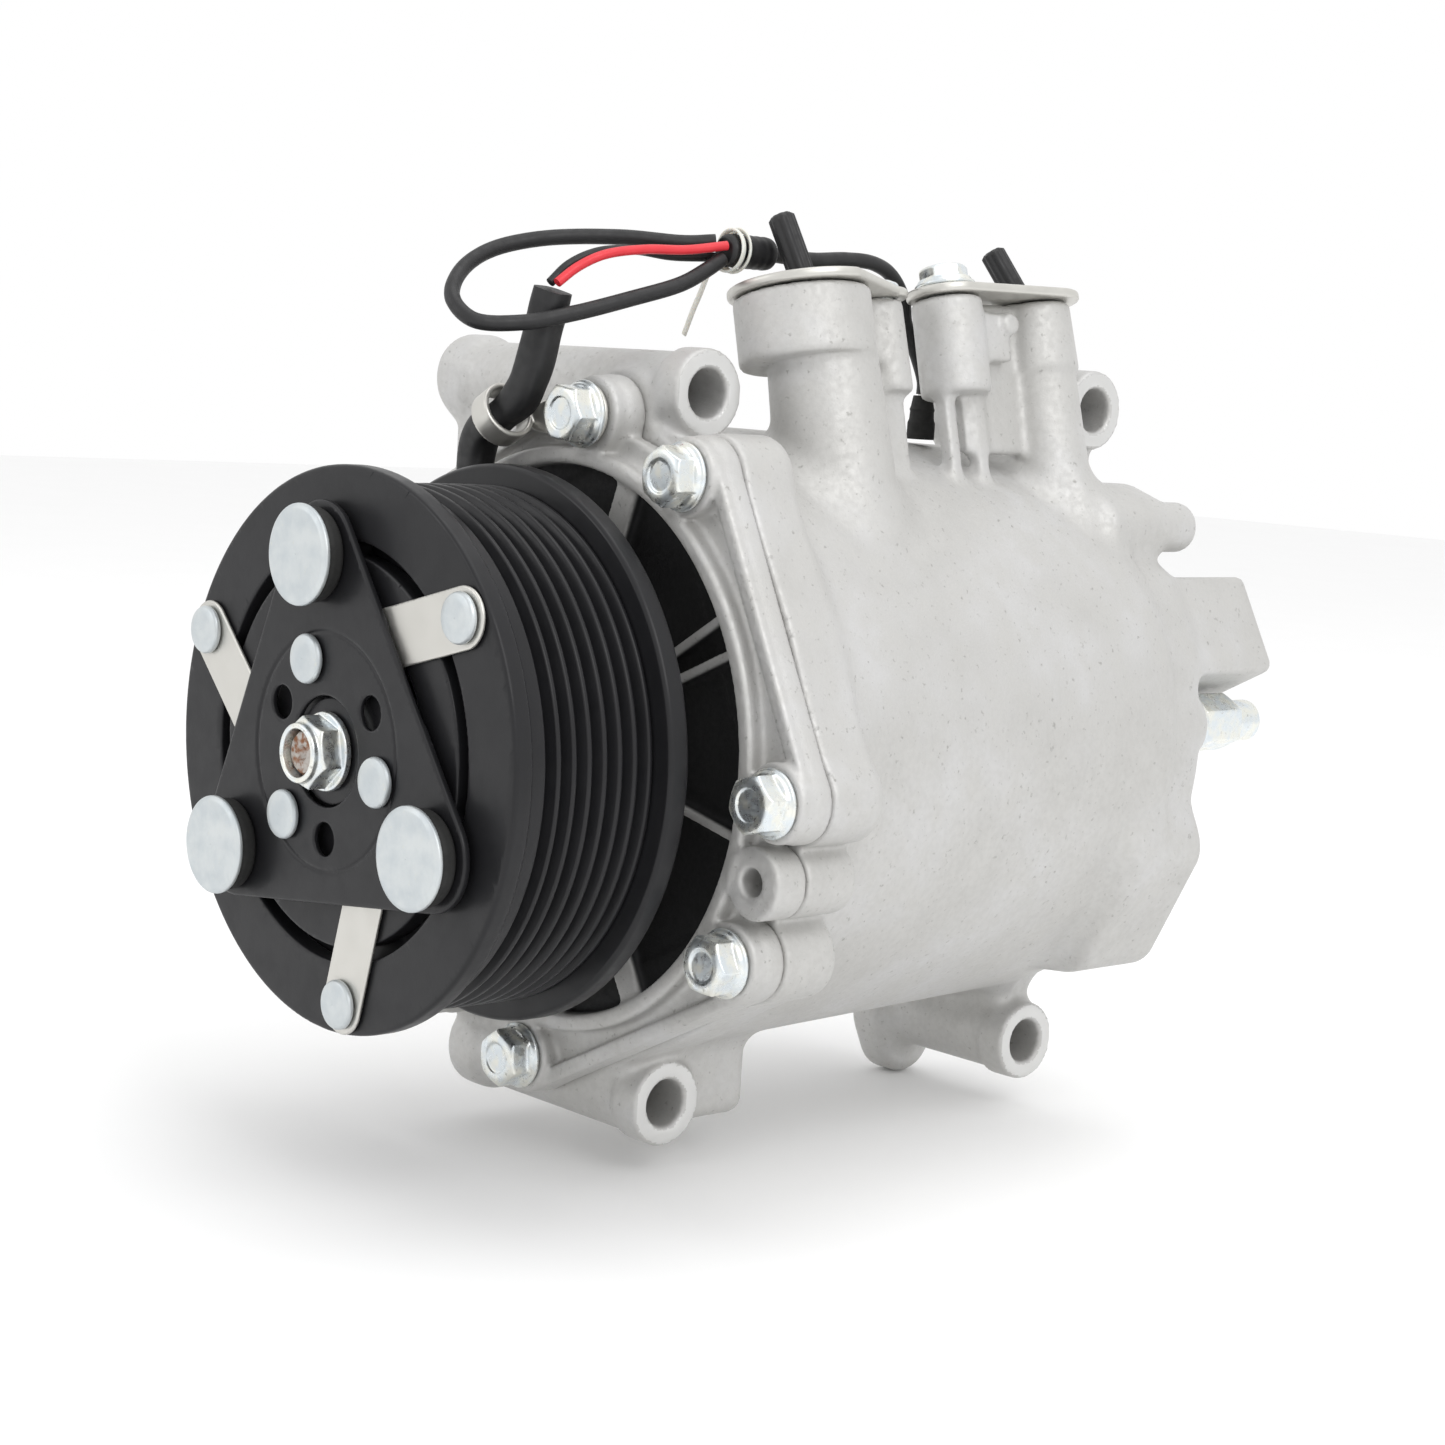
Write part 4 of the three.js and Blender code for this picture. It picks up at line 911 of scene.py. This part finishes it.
def pulley():
    """The belt track's V grooves, the guard flange, and the channel that the coil sits in."""
    front_y, back_y = ARMATURE_FACE_Y + 4.8, -27.5
    crest_r, pitch, crest_width, depth = 50.1, 3.56, 0.9, 2.7
    track = []
    for i in range(7):
        crest = ARMATURE_FACE_Y + 8.75 + i * pitch
        track += [(crest_r, crest + crest_width / 2), (crest_r - depth, crest + pitch / 2 - 0.3),
                  (crest_r - depth, crest + pitch / 2 + 0.3), (crest_r, crest + pitch - crest_width / 2)]
    last = ARMATURE_FACE_Y + 8.75 + 7 * pitch
    outline = [
        (27, front_y), (crest_r - 0.7, front_y), (crest_r, front_y + 0.7), *track,
        (crest_r, last + crest_width / 2), (crest_r - 1.5, last + 0.9), (53.6, last + 1.1),
        (54.2, last + 1.8), (54.2, back_y - 0.6), (53.6, back_y), (44.9, back_y), (44.9, -56.9),
        (35.2, -56.9), (35.2, -35.3), (31.2, -35.3), (31.2, -56.9), (27, -56.9),
    ]
    piece("pulley_turned", lathe("pulley_turned", rounded(outline, 0.35, 3), 180), "pulley_body",
          "black_steel", "pulley")


def round_piece(name, outline, centre, body, slot, *replaced, radius=0.35, material=None, segments=64):
    """A turned piece with its own axis at centre, an X and Z."""
    data = lathe(name, rounded(outline, radius), segments)
    return piece(name, data, body, slot, *replaced, material=material, place=(centre[0], 0, centre[1]))


def drive_shaft():
    """The shaft, threaded at its nose, with a centre hole, its crank flange and its crank pin."""
    thread = []
    for i in range(8):
        y = -74.2 + 0.75 * i
        thread += [(4.2, y), (3.85, y + 0.375)]
    outline = [
        (0, -73.6), (0.9, -73.9), (1.5, -74.8), (3.7, -74.8), *thread, (4.2, -68.3), (6, -68.3), (6, -57.6),
        (8, -57.6), (8, -23), (12.5, -23), (12.5, -6.3), (18, -6.3), (18, -2.6), (0, -2.6),
    ]
    data = lathe("shaft_turned", outline, 96)
    data.materials.append(RUSTY_STEEL)
    data.materials.append(SLOTS["bearing_steel"])
    for face in data.polygons:
        face.material_index = 0 if face.center.y / MM < -66 else 1
    piece("shaft_turned", data, "shaft", "bearing_steel", "drive_shaft")
    pin = [(0, -3), (9.7, -3), (9.7, 11.5), (0, 11.5)]
    round_piece("crank_pin", pin, (0, 4.8), "shaft", "bearing_steel", radius=0.4)


def clutch_hub():
    """The hub's boss inside the plate's hole, with its flange behind the plate."""
    front = ARMATURE_FACE_Y - 1.6
    outline = [
        (6.3, front), (10, front), (10, ARMATURE_FACE_Y), (22, ARMATURE_FACE_Y), (22, ARMATURE_FACE_Y + 2),
        (10, ARMATURE_FACE_Y + 2), (10, -58.2), (6.3, -58.2),
    ]
    round_piece("hub_turned", outline, (0, 0), "shaft", "black_steel", "clutch_hub", segments=96)


def bumpers():
    """Three rubber blocks on the hub plate, each under a pressed steel cap."""
    top = ARMATURE_FACE_Y - 8.2
    back = ARMATURE_FACE_Y - 3.3
    for i, turn in enumerate(THIRDS):
        centre = polar(BUMPER_CIRCLE_R, BUMPER_ANGLE + turn)
        cap = [(0, top), (8.6, top), (9.5, top + 0.5), (9.5, top + 1.3), (8.9, top + 1.3), (0, top + 1.3)]
        rubber = [(0, top + 1.4), (8.5, top + 1.4), (8.9, top + 2.6), (8.9, back - 0.7), (8.4, back),
                  (0, back)]
        round_piece(f"bumper_cap_{i + 1}", cap, centre, "shaft", "zinc_steel", f"bumper_{i + 1}",
                    material=CAP_STEEL, radius=0.3)
        round_piece(f"bumper_rubber_{i + 1}", rubber, centre, "shaft", "black_rubber", f"bumper_{i + 1}")


def rivets():
    """Domed rivet heads, three on the hub plate and three on the armature."""
    for i, turn in enumerate(THIRDS):
        for name, node, circle_r, angle, body in (
            ("hub_rivet_head", "hub_rivet", HUB_RIVET_CIRCLE_R, HUB_RIVET_ANGLE, "shaft"),
            ("leaf_rivet_head", "leaf_rivet", STRAP_RIVET_CIRCLE_R, STRAP_RIVET_ANGLE, "armature_body"),
        ):
            low, high = corners_mm(f"{node}_{i + 1}")
            front, seat = low[1], low[1] + 1.6
            outline = [(0, front), (3.2, front + 0.1), (4.4, front + 0.4), (4.7, front + 0.9), (4.7, seat),
                       (2.2, seat), (2.2, high[1]), (0, high[1])]
            round_piece(f"{name}_{i + 1}", outline, polar(circle_r, angle + turn), body, "zinc_steel",
                        f"{node}_{i + 1}", material=CAP_STEEL, radius=0.3)


pulley()
drive_shaft()
clutch_hub()
bumpers()
rivets()


# ---------------------------------------------------------------- clutch plates
def hub_plate():
    """The three-cornered plate, with a raised ring pressed round its middle."""
    low, high = corners_mm("hub_plate")
    front, back = low[1], high[1]
    corners = [polar(BUMPER_CIRCLE_R, BUMPER_ANGLE + turn) for turn in THIRDS]
    cast = Cast((low[0] - 1, front - 1, low[2] - 1), (high[0] + 1, back + 1, high[2] + 1), 0.3)

    def outline(x, z):
        inside = polygon(corners)(x, z)
        rounds = [bar(a, b, 0)(x, z) for a, b in zip(corners, [*corners[1:], corners[0]])]
        return np.where(inside < 0, inside, np.min(rounds, axis=0)) - 10.2

    cast.add(plate(outline, 50, front, back, 0.45))
    cast.cut(rod("y", 30, back - 0.35, back + 2, 0, 0, 0.1), 0.3)
    cast.cut(rod("y", 22.4, front - 1, front + 0.22, 0, 0, 0.05), 0.5)
    cast.add(rod("y", 22, front + 0.1, front + 0.8, 0, 0, 0.05), 0.2)
    cast.cut(rod("y", 10.4, front - 2, back + 2, 0, 0, 0.1), 0.3)
    for turn in THIRDS:
        for circle_r, angle, radius in ((16.4, 33, 3.2), (HUB_RIVET_CIRCLE_R, HUB_RIVET_ANGLE, 2.6),
                                        (BUMPER_CIRCLE_R, BUMPER_ANGLE, 3.4)):
            x, z = polar(circle_r, angle + turn)
            cast.cut(rod("y", radius, front - 2, back + 2, x, z, 0.1), 0.25)
    piece("hub_plate_pressed", cast.mesh("hub_plate_pressed", 0.002), "shaft", "black_steel", "hub_plate")


def armature():
    """The friction disc: three arc slots, three rivet holes and a chamfered rim."""
    cast = Cast(ARMATURE_LOW - 1, ARMATURE_HIGH + 1, 0.35)
    cast.add(rod("y", ARMATURE_R, ARMATURE_FACE_Y, ARMATURE_BACK_Y, 0, 0, 0.75))
    cast.cut(rod("y", 26.5, ARMATURE_FACE_Y - 2, ARMATURE_BACK_Y + 2, 0, 0, 0.1), 0.5)

    def slot(middle):
        c, s = math.cos(math.radians(middle)), math.sin(math.radians(middle))

        def outline(x, z):
            along = np.abs(np.arctan2(z * c - x * s, x * c + z * s)) - math.radians(46.5)
            return np.hypot(np.abs(np.hypot(x, z) - 38.25), np.maximum(along, 0) * 38.25) - 1.4

        return outline

    for turn in THIRDS:
        middle = STRAP_RIVET_ANGLE + turn
        cast.cut(plate(slot(middle), 54, ARMATURE_FACE_Y - 2, ARMATURE_BACK_Y + 2, 0.1), 0.3)
        x, z = polar(STRAP_RIVET_CIRCLE_R, middle)
        cast.cut(rod("y", 2.6, ARMATURE_FACE_Y - 2, ARMATURE_BACK_Y + 2, x, z, 0.1), 0.25)
    piece("armature_disc", cast.mesh("armature_disc", 0.002), "armature_body", "black_steel", "armature")


def leaf_springs():
    """Straps from the armature's rivets to the hub's, between the two bodies."""
    for i, turn in enumerate(THIRDS):
        low, high = corners_mm(f"leaf_spring_{i + 1}")
        outer = polar(STRAP_RIVET_CIRCLE_R, STRAP_RIVET_ANGLE + turn)
        inner = polar(HUB_RIVET_CIRCLE_R, HUB_RIVET_ANGLE + turn)
        cast = Cast(low - 1, high + 1, 0.25)
        cast.add(plate(bar(outer, inner, 5.75), 55, low[1], high[1], 0.25))
        for x, z in (outer, inner):
            cast.cut(rod("y", 2.6, low[1] - 2, high[1] + 2, x, z, 0.1), 0.1)
        data = cast.mesh(f"leaf_strap_{i + 1}", 0.002)
        data.materials.append(SLOTS["bright_steel"])
        strap = new_object(f"leaf_strap_{i + 1}", data)
        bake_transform(strap)
        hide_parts(f"leaf_spring_{i + 1}")


hub_plate()
armature()
leaf_springs()


def tube_mesh(name, points, around):
    """A closed tube from rings of points, `around` to a ring."""
    rows = len(points) // around
    faces = []
    for row in range(rows - 1):
        for i in range(around):
            a, b = row * around + i, row * around + (i + 1) % around
            faces.append((a, b, b + around, a + around))
    faces.append(tuple(reversed(range(around))))
    faces.append(tuple(range((rows - 1) * around, rows * around)))
    data = bpy.data.meshes.new(name)
    data.from_pydata(points, [], faces)
    tidy_mesh(data, 50)
    return data


# ---------------------------------------------------------------- shipping covers, plugs and their screws
TO_PORT = Matrix.Translation(Vector((PORT_PIVOT_X, 0, PORT_PIVOT_Z)) * MM)
LEAN = TO_PORT @ Matrix.Rotation(-PORT_LEAN, 4, "Y") @ TO_PORT.inverted()


def on_port(name, data, x, y, z, slot, node, turn=Matrix.Identity(4)):
    """A piece made about its own origin, set at an upright place on the ports and leaned with them."""
    data.transform(LEAN @ Matrix.Translation(Vector((x, y, z)) * MM) @ turn)
    piece(name, data, "housing", slot, node)


def cover(name, port, port_r, bolt_r, bolt_hole_r):
    """A stamped sheet over a port, its edge rolled, with a hole for the plug and one for the screw."""
    x, y, bolt_x, bolt_y = (port[key] for key in ("x", "y", "bolt_x", "bolt_y"))
    outline = bar((0, 0), (bolt_x - x, bolt_y - y), port_r, bolt_r)
    reach = abs(bolt_y - y) + port_r
    half = COVER_THICKNESS / 2
    cast = Cast((-port_r - 1, -reach - 1, -half - 1), (port_r + 1, reach + 1, half + 1), 0.3)

    def distance(u, v, w):
        return rounded_max(outline(u, v), np.abs(w) - half, 0.7)

    cast.add(((-port_r, -reach, -half), (port_r, reach, half), distance))
    cast.cut(rod("z", port["hole"] - 0.5, -4, 4, 0, 0, 0.1), 0.4)
    cast.cut(rod("z", bolt_hole_r, -4, 4, bolt_x - x, bolt_y - y, 0.1), 0.3)
    on_port(f"{name}_sheet", cast.mesh(f"{name}_sheet", 0.002), x, y, port["top"] + 0.3 + half,
            "bright_steel", name)


def fluted_stem(name, radius, length, flutes=8):
    """A round stem along +Z with shallow flutes and a softly rounded end."""
    points, around, rows = [], 64, 20
    for row in range(rows + 1):
        t = row / rows
        height = -0.6 + (length + 0.6) * t
        rounding = math.sqrt(max(1 - max((t - 0.94) / 0.06, 0) ** 2 * 0.5, 0))
        for i in range(around):
            angle = TAU * i / around
            r = (radius - 0.32 * (0.5 - 0.5 * math.cos(flutes * angle)) ** 2) * rounding
            points.append((r * math.cos(angle) * MM, r * math.sin(angle) * MM, height * MM))
    return tube_mesh(name, points, around)


def plug(name, port, lean, length, offset):
    """A moulded plug: a body in the port, a thin flange, and a fluted stem that leans forwards and left."""
    aside = offset * math.sin(STEM_DIRECTION), -offset * math.cos(STEM_DIRECTION)
    cast = Cast((-11, -11, -10), (11, 11, 2), 0.3)
    cast.add(rod("z", port["hole"] - 0.9, -9, 0.5, 0, 0, 0.5))
    cast.add(rod("z", PLUG_FLANGE_R, 0, 1, *aside, 0.35), 0.2)
    seat = port["top"] + COVER_THICKNESS + 2 * GAP
    x, y = port["x"], port["y"]
    on_port(f"{name}_cap", cast.mesh(f"{name}_cap", 0.002), x, y, seat, "black_plastic", name)
    turn = Matrix.Rotation(STEM_DIRECTION, 4, "Z") @ Matrix.Rotation(math.radians(lean), 4, "X")
    on_port(f"{name}_stem", fluted_stem(f"{name}_stem", STEM_R, length), x + aside[0], y + aside[1], seat + 1,
            "black_plastic", name, turn)


def cover_screws():
    """A low button head on the suction side and a flange screw on the discharge side."""
    seat = SUCTION["top"] + COVER_THICKNESS + 2 * GAP
    upright = Matrix.Rotation(math.radians(90), 4, "X")
    head = [(0, 1.7), (2.6, 1.7), (4.1, 0.9), (4.4, 0), (2.9, 0), (2.9, 80 - seat), (0, 80 - seat)]
    on_port("cover_button_screw", lathe("cover_button_screw", rounded(head, 0.3), 64), SUCTION["bolt_x"],
            SUCTION["bolt_y"], seat, "zinc_steel", "suction_cover_bolt", upright)
    seat = DISCHARGE["top"] + COVER_THICKNESS + 2 * GAP
    data = flange_bolt("cover_flange_screw", 9, 6.4, 4.6, 3.6, seat - 80)
    turn = Matrix.Rotation(math.radians(20), 4, "Z") @ Matrix.Rotation(math.radians(-90), 4, "X")
    on_port("cover_flange_screw", data, DISCHARGE["bolt_x"], DISCHARGE["bolt_y"], seat, "zinc_steel",
            "discharge_cover_bolt", turn)


cover("suction_cover", SUCTION, 15.6, 6, 3.4)
cover("discharge_cover", DISCHARGE, 10.6, 8.4, 4.4)
plug("suction_plug", SUCTION, 13.5, 13.5, 0)
plug("discharge_plug", DISCHARGE, 23, 10.5, 3)
cover_screws()


# ---------------------------------------------------------------- wiring fittings
def sweep(name, line, section):
    """A tube along a line; section(share along, angle) gives the offset (u, v) in mm."""
    around = 40
    line = [np.array(p, float) for p in line]
    points = []
    side = np.array([1.0, 0.0, 0.0])
    for i, at in enumerate(line):
        ahead = line[min(i + 1, len(line) - 1)] - line[max(i - 1, 0)]
        ahead /= np.linalg.norm(ahead)
        side = side - ahead * (side @ ahead)
        side /= np.linalg.norm(side)
        other = np.cross(ahead, side)
        for j in range(around):
            u, v = section(i / (len(line) - 1), TAU * j / around)
            points.append(((at + side * u + other * v) * MM).tolist())
    return tube_mesh(name, points, around)


def wire_sleeve():
    """Shrink sleeve over the coil's wires: a softly squared section, flat where it was pinched."""
    def section(t, angle):
        c, s = math.cos(angle), math.sin(angle)
        wide = 3.85 - 0.5 * math.exp(-((t - 0.5) / 0.06) ** 2)
        squared = (abs(c) ** 3.2 + abs(s) ** 3.2) ** (-1 / 3.2)
        ripple = 0.06 * math.sin(40 * t + 2 * angle)
        return (wide * squared * 0.9 + ripple) * c, (wide * squared * 0.86 + ripple) * s

    piece("wire_sleeve_soft", sweep("wire_sleeve_soft", smooth_line(SLEEVE_ROUTE, 8), section), "housing",
          "black_plastic", "wire_sleeve")


def twist_tie():
    """A flat coated wire, twice round the bundle, twisted once, with a thin curved tail."""
    turns, start_y, pitch, radius = 2.05, 16.1, 3.6, SPLICE_R + 0.75
    line = []
    for i in range(121):
        angle = TAU * turns * i / 120 + math.radians(200)
        line.append((SPLICE_X + radius * math.cos(angle), start_y + pitch * i / 120 * turns / 2,
                     SPLICE_Z + radius * math.sin(angle)))

    def band(t, angle):
        return 0.33 * math.cos(angle), 0.62 * math.sin(angle)

    piece("tie_band", sweep("tie_band", line, band), "housing", "white_plastic", "twist_tie")
    tail = [(4.2, 16.1, 97), (1.3, 16, 90.5), (-2, 17, 86.5), (-5.5, 18, 81.5)]
    piece("tie_tail", sweep("tie_tail", smooth_line(tail, 12),
                            lambda t, a: (0.7 * math.cos(a), 0.35 * math.sin(a))),
          "housing", "white_plastic", "twist_tie")


def splice_and_boot():
    """The taped splice where the wires meet, and the rubber boot on the sensor under the lead."""
    splice = [(0, SPLICE_FRONT_Y), (2.7, SPLICE_FRONT_Y), (3.3, SPLICE_FRONT_Y + 0.8)]
    splice += [(3.3 + 0.1 * (i % 2), SPLICE_FRONT_Y + 1.5 + i) for i in range(10)]
    splice += [(3.2, SPLICE_BACK_Y - 0.8), (2.4, SPLICE_BACK_Y), (0, SPLICE_BACK_Y)]
    round_piece("splice_tape", splice, (SPLICE_X, SPLICE_Z), "housing", "black_plastic", "splice_sleeve")
    low, high = corners_mm("lead_boot")
    z0, z1 = low[2], high[2]
    boot = [(0, z0), (3.0, z0), (3.0, z0 + 3.6), (2.7, z0 + 4.2), (2.6, z0 + 6), (2.75, z0 + 6.4),
            (2.5, z0 + 7), (2.1, z1), (1.5, z1), (0, z1 - 0.2)]
    data = lathe("boot_moulded", rounded(boot, 0.25), 48)
    data.transform(Matrix.Rotation(math.radians(90), 4, "X"))
    piece("boot_moulded", data, "housing", "black_rubber", "lead_boot",
          place=((low[0] + high[0]) / 2, (low[1] + high[1]) / 2, 0))


def wire_clip():
    """A bent strip: an eye under the first bolt, and a band round the sleeve."""
    low, high = corners_mm("wire_clip")
    cast = Cast(low - 1, high + 1, 0.3)
    cx, cy, cz = (-11.5, -23.2, 63.3)
    back = SEAT_Y - 0.3
    lean = math.radians(61)
    c, s = math.cos(lean), math.sin(lean)

    def band(x, y, z):
        u, v, w = x - cx, y - cy, z - cz
        along = u * s + w * c
        across = np.hypot(u * c - w * s, v)
        return rounded_max(np.abs(across - 5.3) - 0.55, np.abs(along) - 2.5, 0.25)

    cast.add(plate(bar(BOLT_CENTRES[0], (cx + 4, cz), 6, 2.8), 75, back - 1, back, 0.3))
    cast.cut(rod("y", 3.5, back - 4, back + 2, *BOLT_CENTRES[0], 0.1), 0.2)
    cast.add(((cx - 7, cy - 7, cz - 7), (cx + 7, cy + 7, cz + 7), band), 0.5)
    piece("clip_bent", cast.mesh("clip_bent", 0.002), "housing", "bright_steel", "wire_clip")


wire_sleeve()
twist_tie()
splice_and_boot()
wire_clip()


# ---------------------------------------------------------------- inner pieces keep their CAD shape
def finish_inner_pieces():
    for node, material in {
        "pulley_bearing_outer": "bearing_steel", "pulley_bearing_balls": "bearing_steel",
        "pulley_bearing_inner": "bearing_steel", "coil_snap_ring": "bright_steel",
        "coil_shell": "black_steel", "coil_winding": "coil_resin", "counterweight": "bright_steel",
        "shaft_seal": "black_rubber", "front_bearing": "bearing_steel", "main_bearing": "bearing_steel",
        "orbit_bearing": "bearing_steel", "thrust_frame": "cast_aluminium",
        "orbiting_scroll": "cast_aluminium", "fixed_scroll": "cast_aluminium",
        "discharge_reed": "bright_steel", "reed_stop": "bright_steel",
    }.items():
        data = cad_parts[node].data
        data.materials.clear()
        data.materials.append(SLOTS[material])


finish_inner_pieces()


# ---------------------------------------------------------------- floor and light
FLOOR_Z = MAIN_LOW[2] - 0.3


def floor():
    side = 3.0
    data = bpy.data.meshes.new("floor")
    corners = [(-side, -side, 0), (side, -side, 0), (side, side, 0), (-side, side, 0)]
    data.from_pydata(corners, [], [(0, 1, 2, 3)])
    made = new_object("floor", data)
    made.location = (0, 0, FLOOR_Z * MM)
    finish = Finish("floor_paper", roughness=0.9, specular_ior_level=0.1)
    finish.colour(finish.mixed(finish.noise(60, 3), (0.93, 0.93, 0.93), (0.95, 0.95, 0.95)))
    data.materials.append(finish.material)


def area_light(name, place, target, size, watts):
    data = bpy.data.lights.new(name, "AREA")
    data.shape = "SQUARE"
    data.size = size
    data.energy = watts
    made = new_object(name, data)
    made.location = place
    made.rotation_euler = (Vector(target) - Vector(place)).to_track_quat("-Z", "Y").to_euler()


def lights():
    world = bpy.data.worlds.new("studio")
    bpy.context.scene.world = world
    world.use_nodes = True
    background = world.node_tree.nodes["Background"]
    background.inputs["Color"].default_value = (1, 1, 1, 1)
    background.inputs["Strength"].default_value = 1.0
    middle = (0, 0.03, 0)
    area_light("key", (0.95, -0.2, 0.8), middle, 0.7, 4.5)
    area_light("left", (-0.5, -0.9, 0.5), middle, 0.5, 1.2)
    area_light("top", (0.1, 0.2, 1.2), middle, 0.8, 2.5)
    bpy.context.scene.view_settings.view_transform = "Standard"


floor()
lights()

bpy.context.view_layer.update()
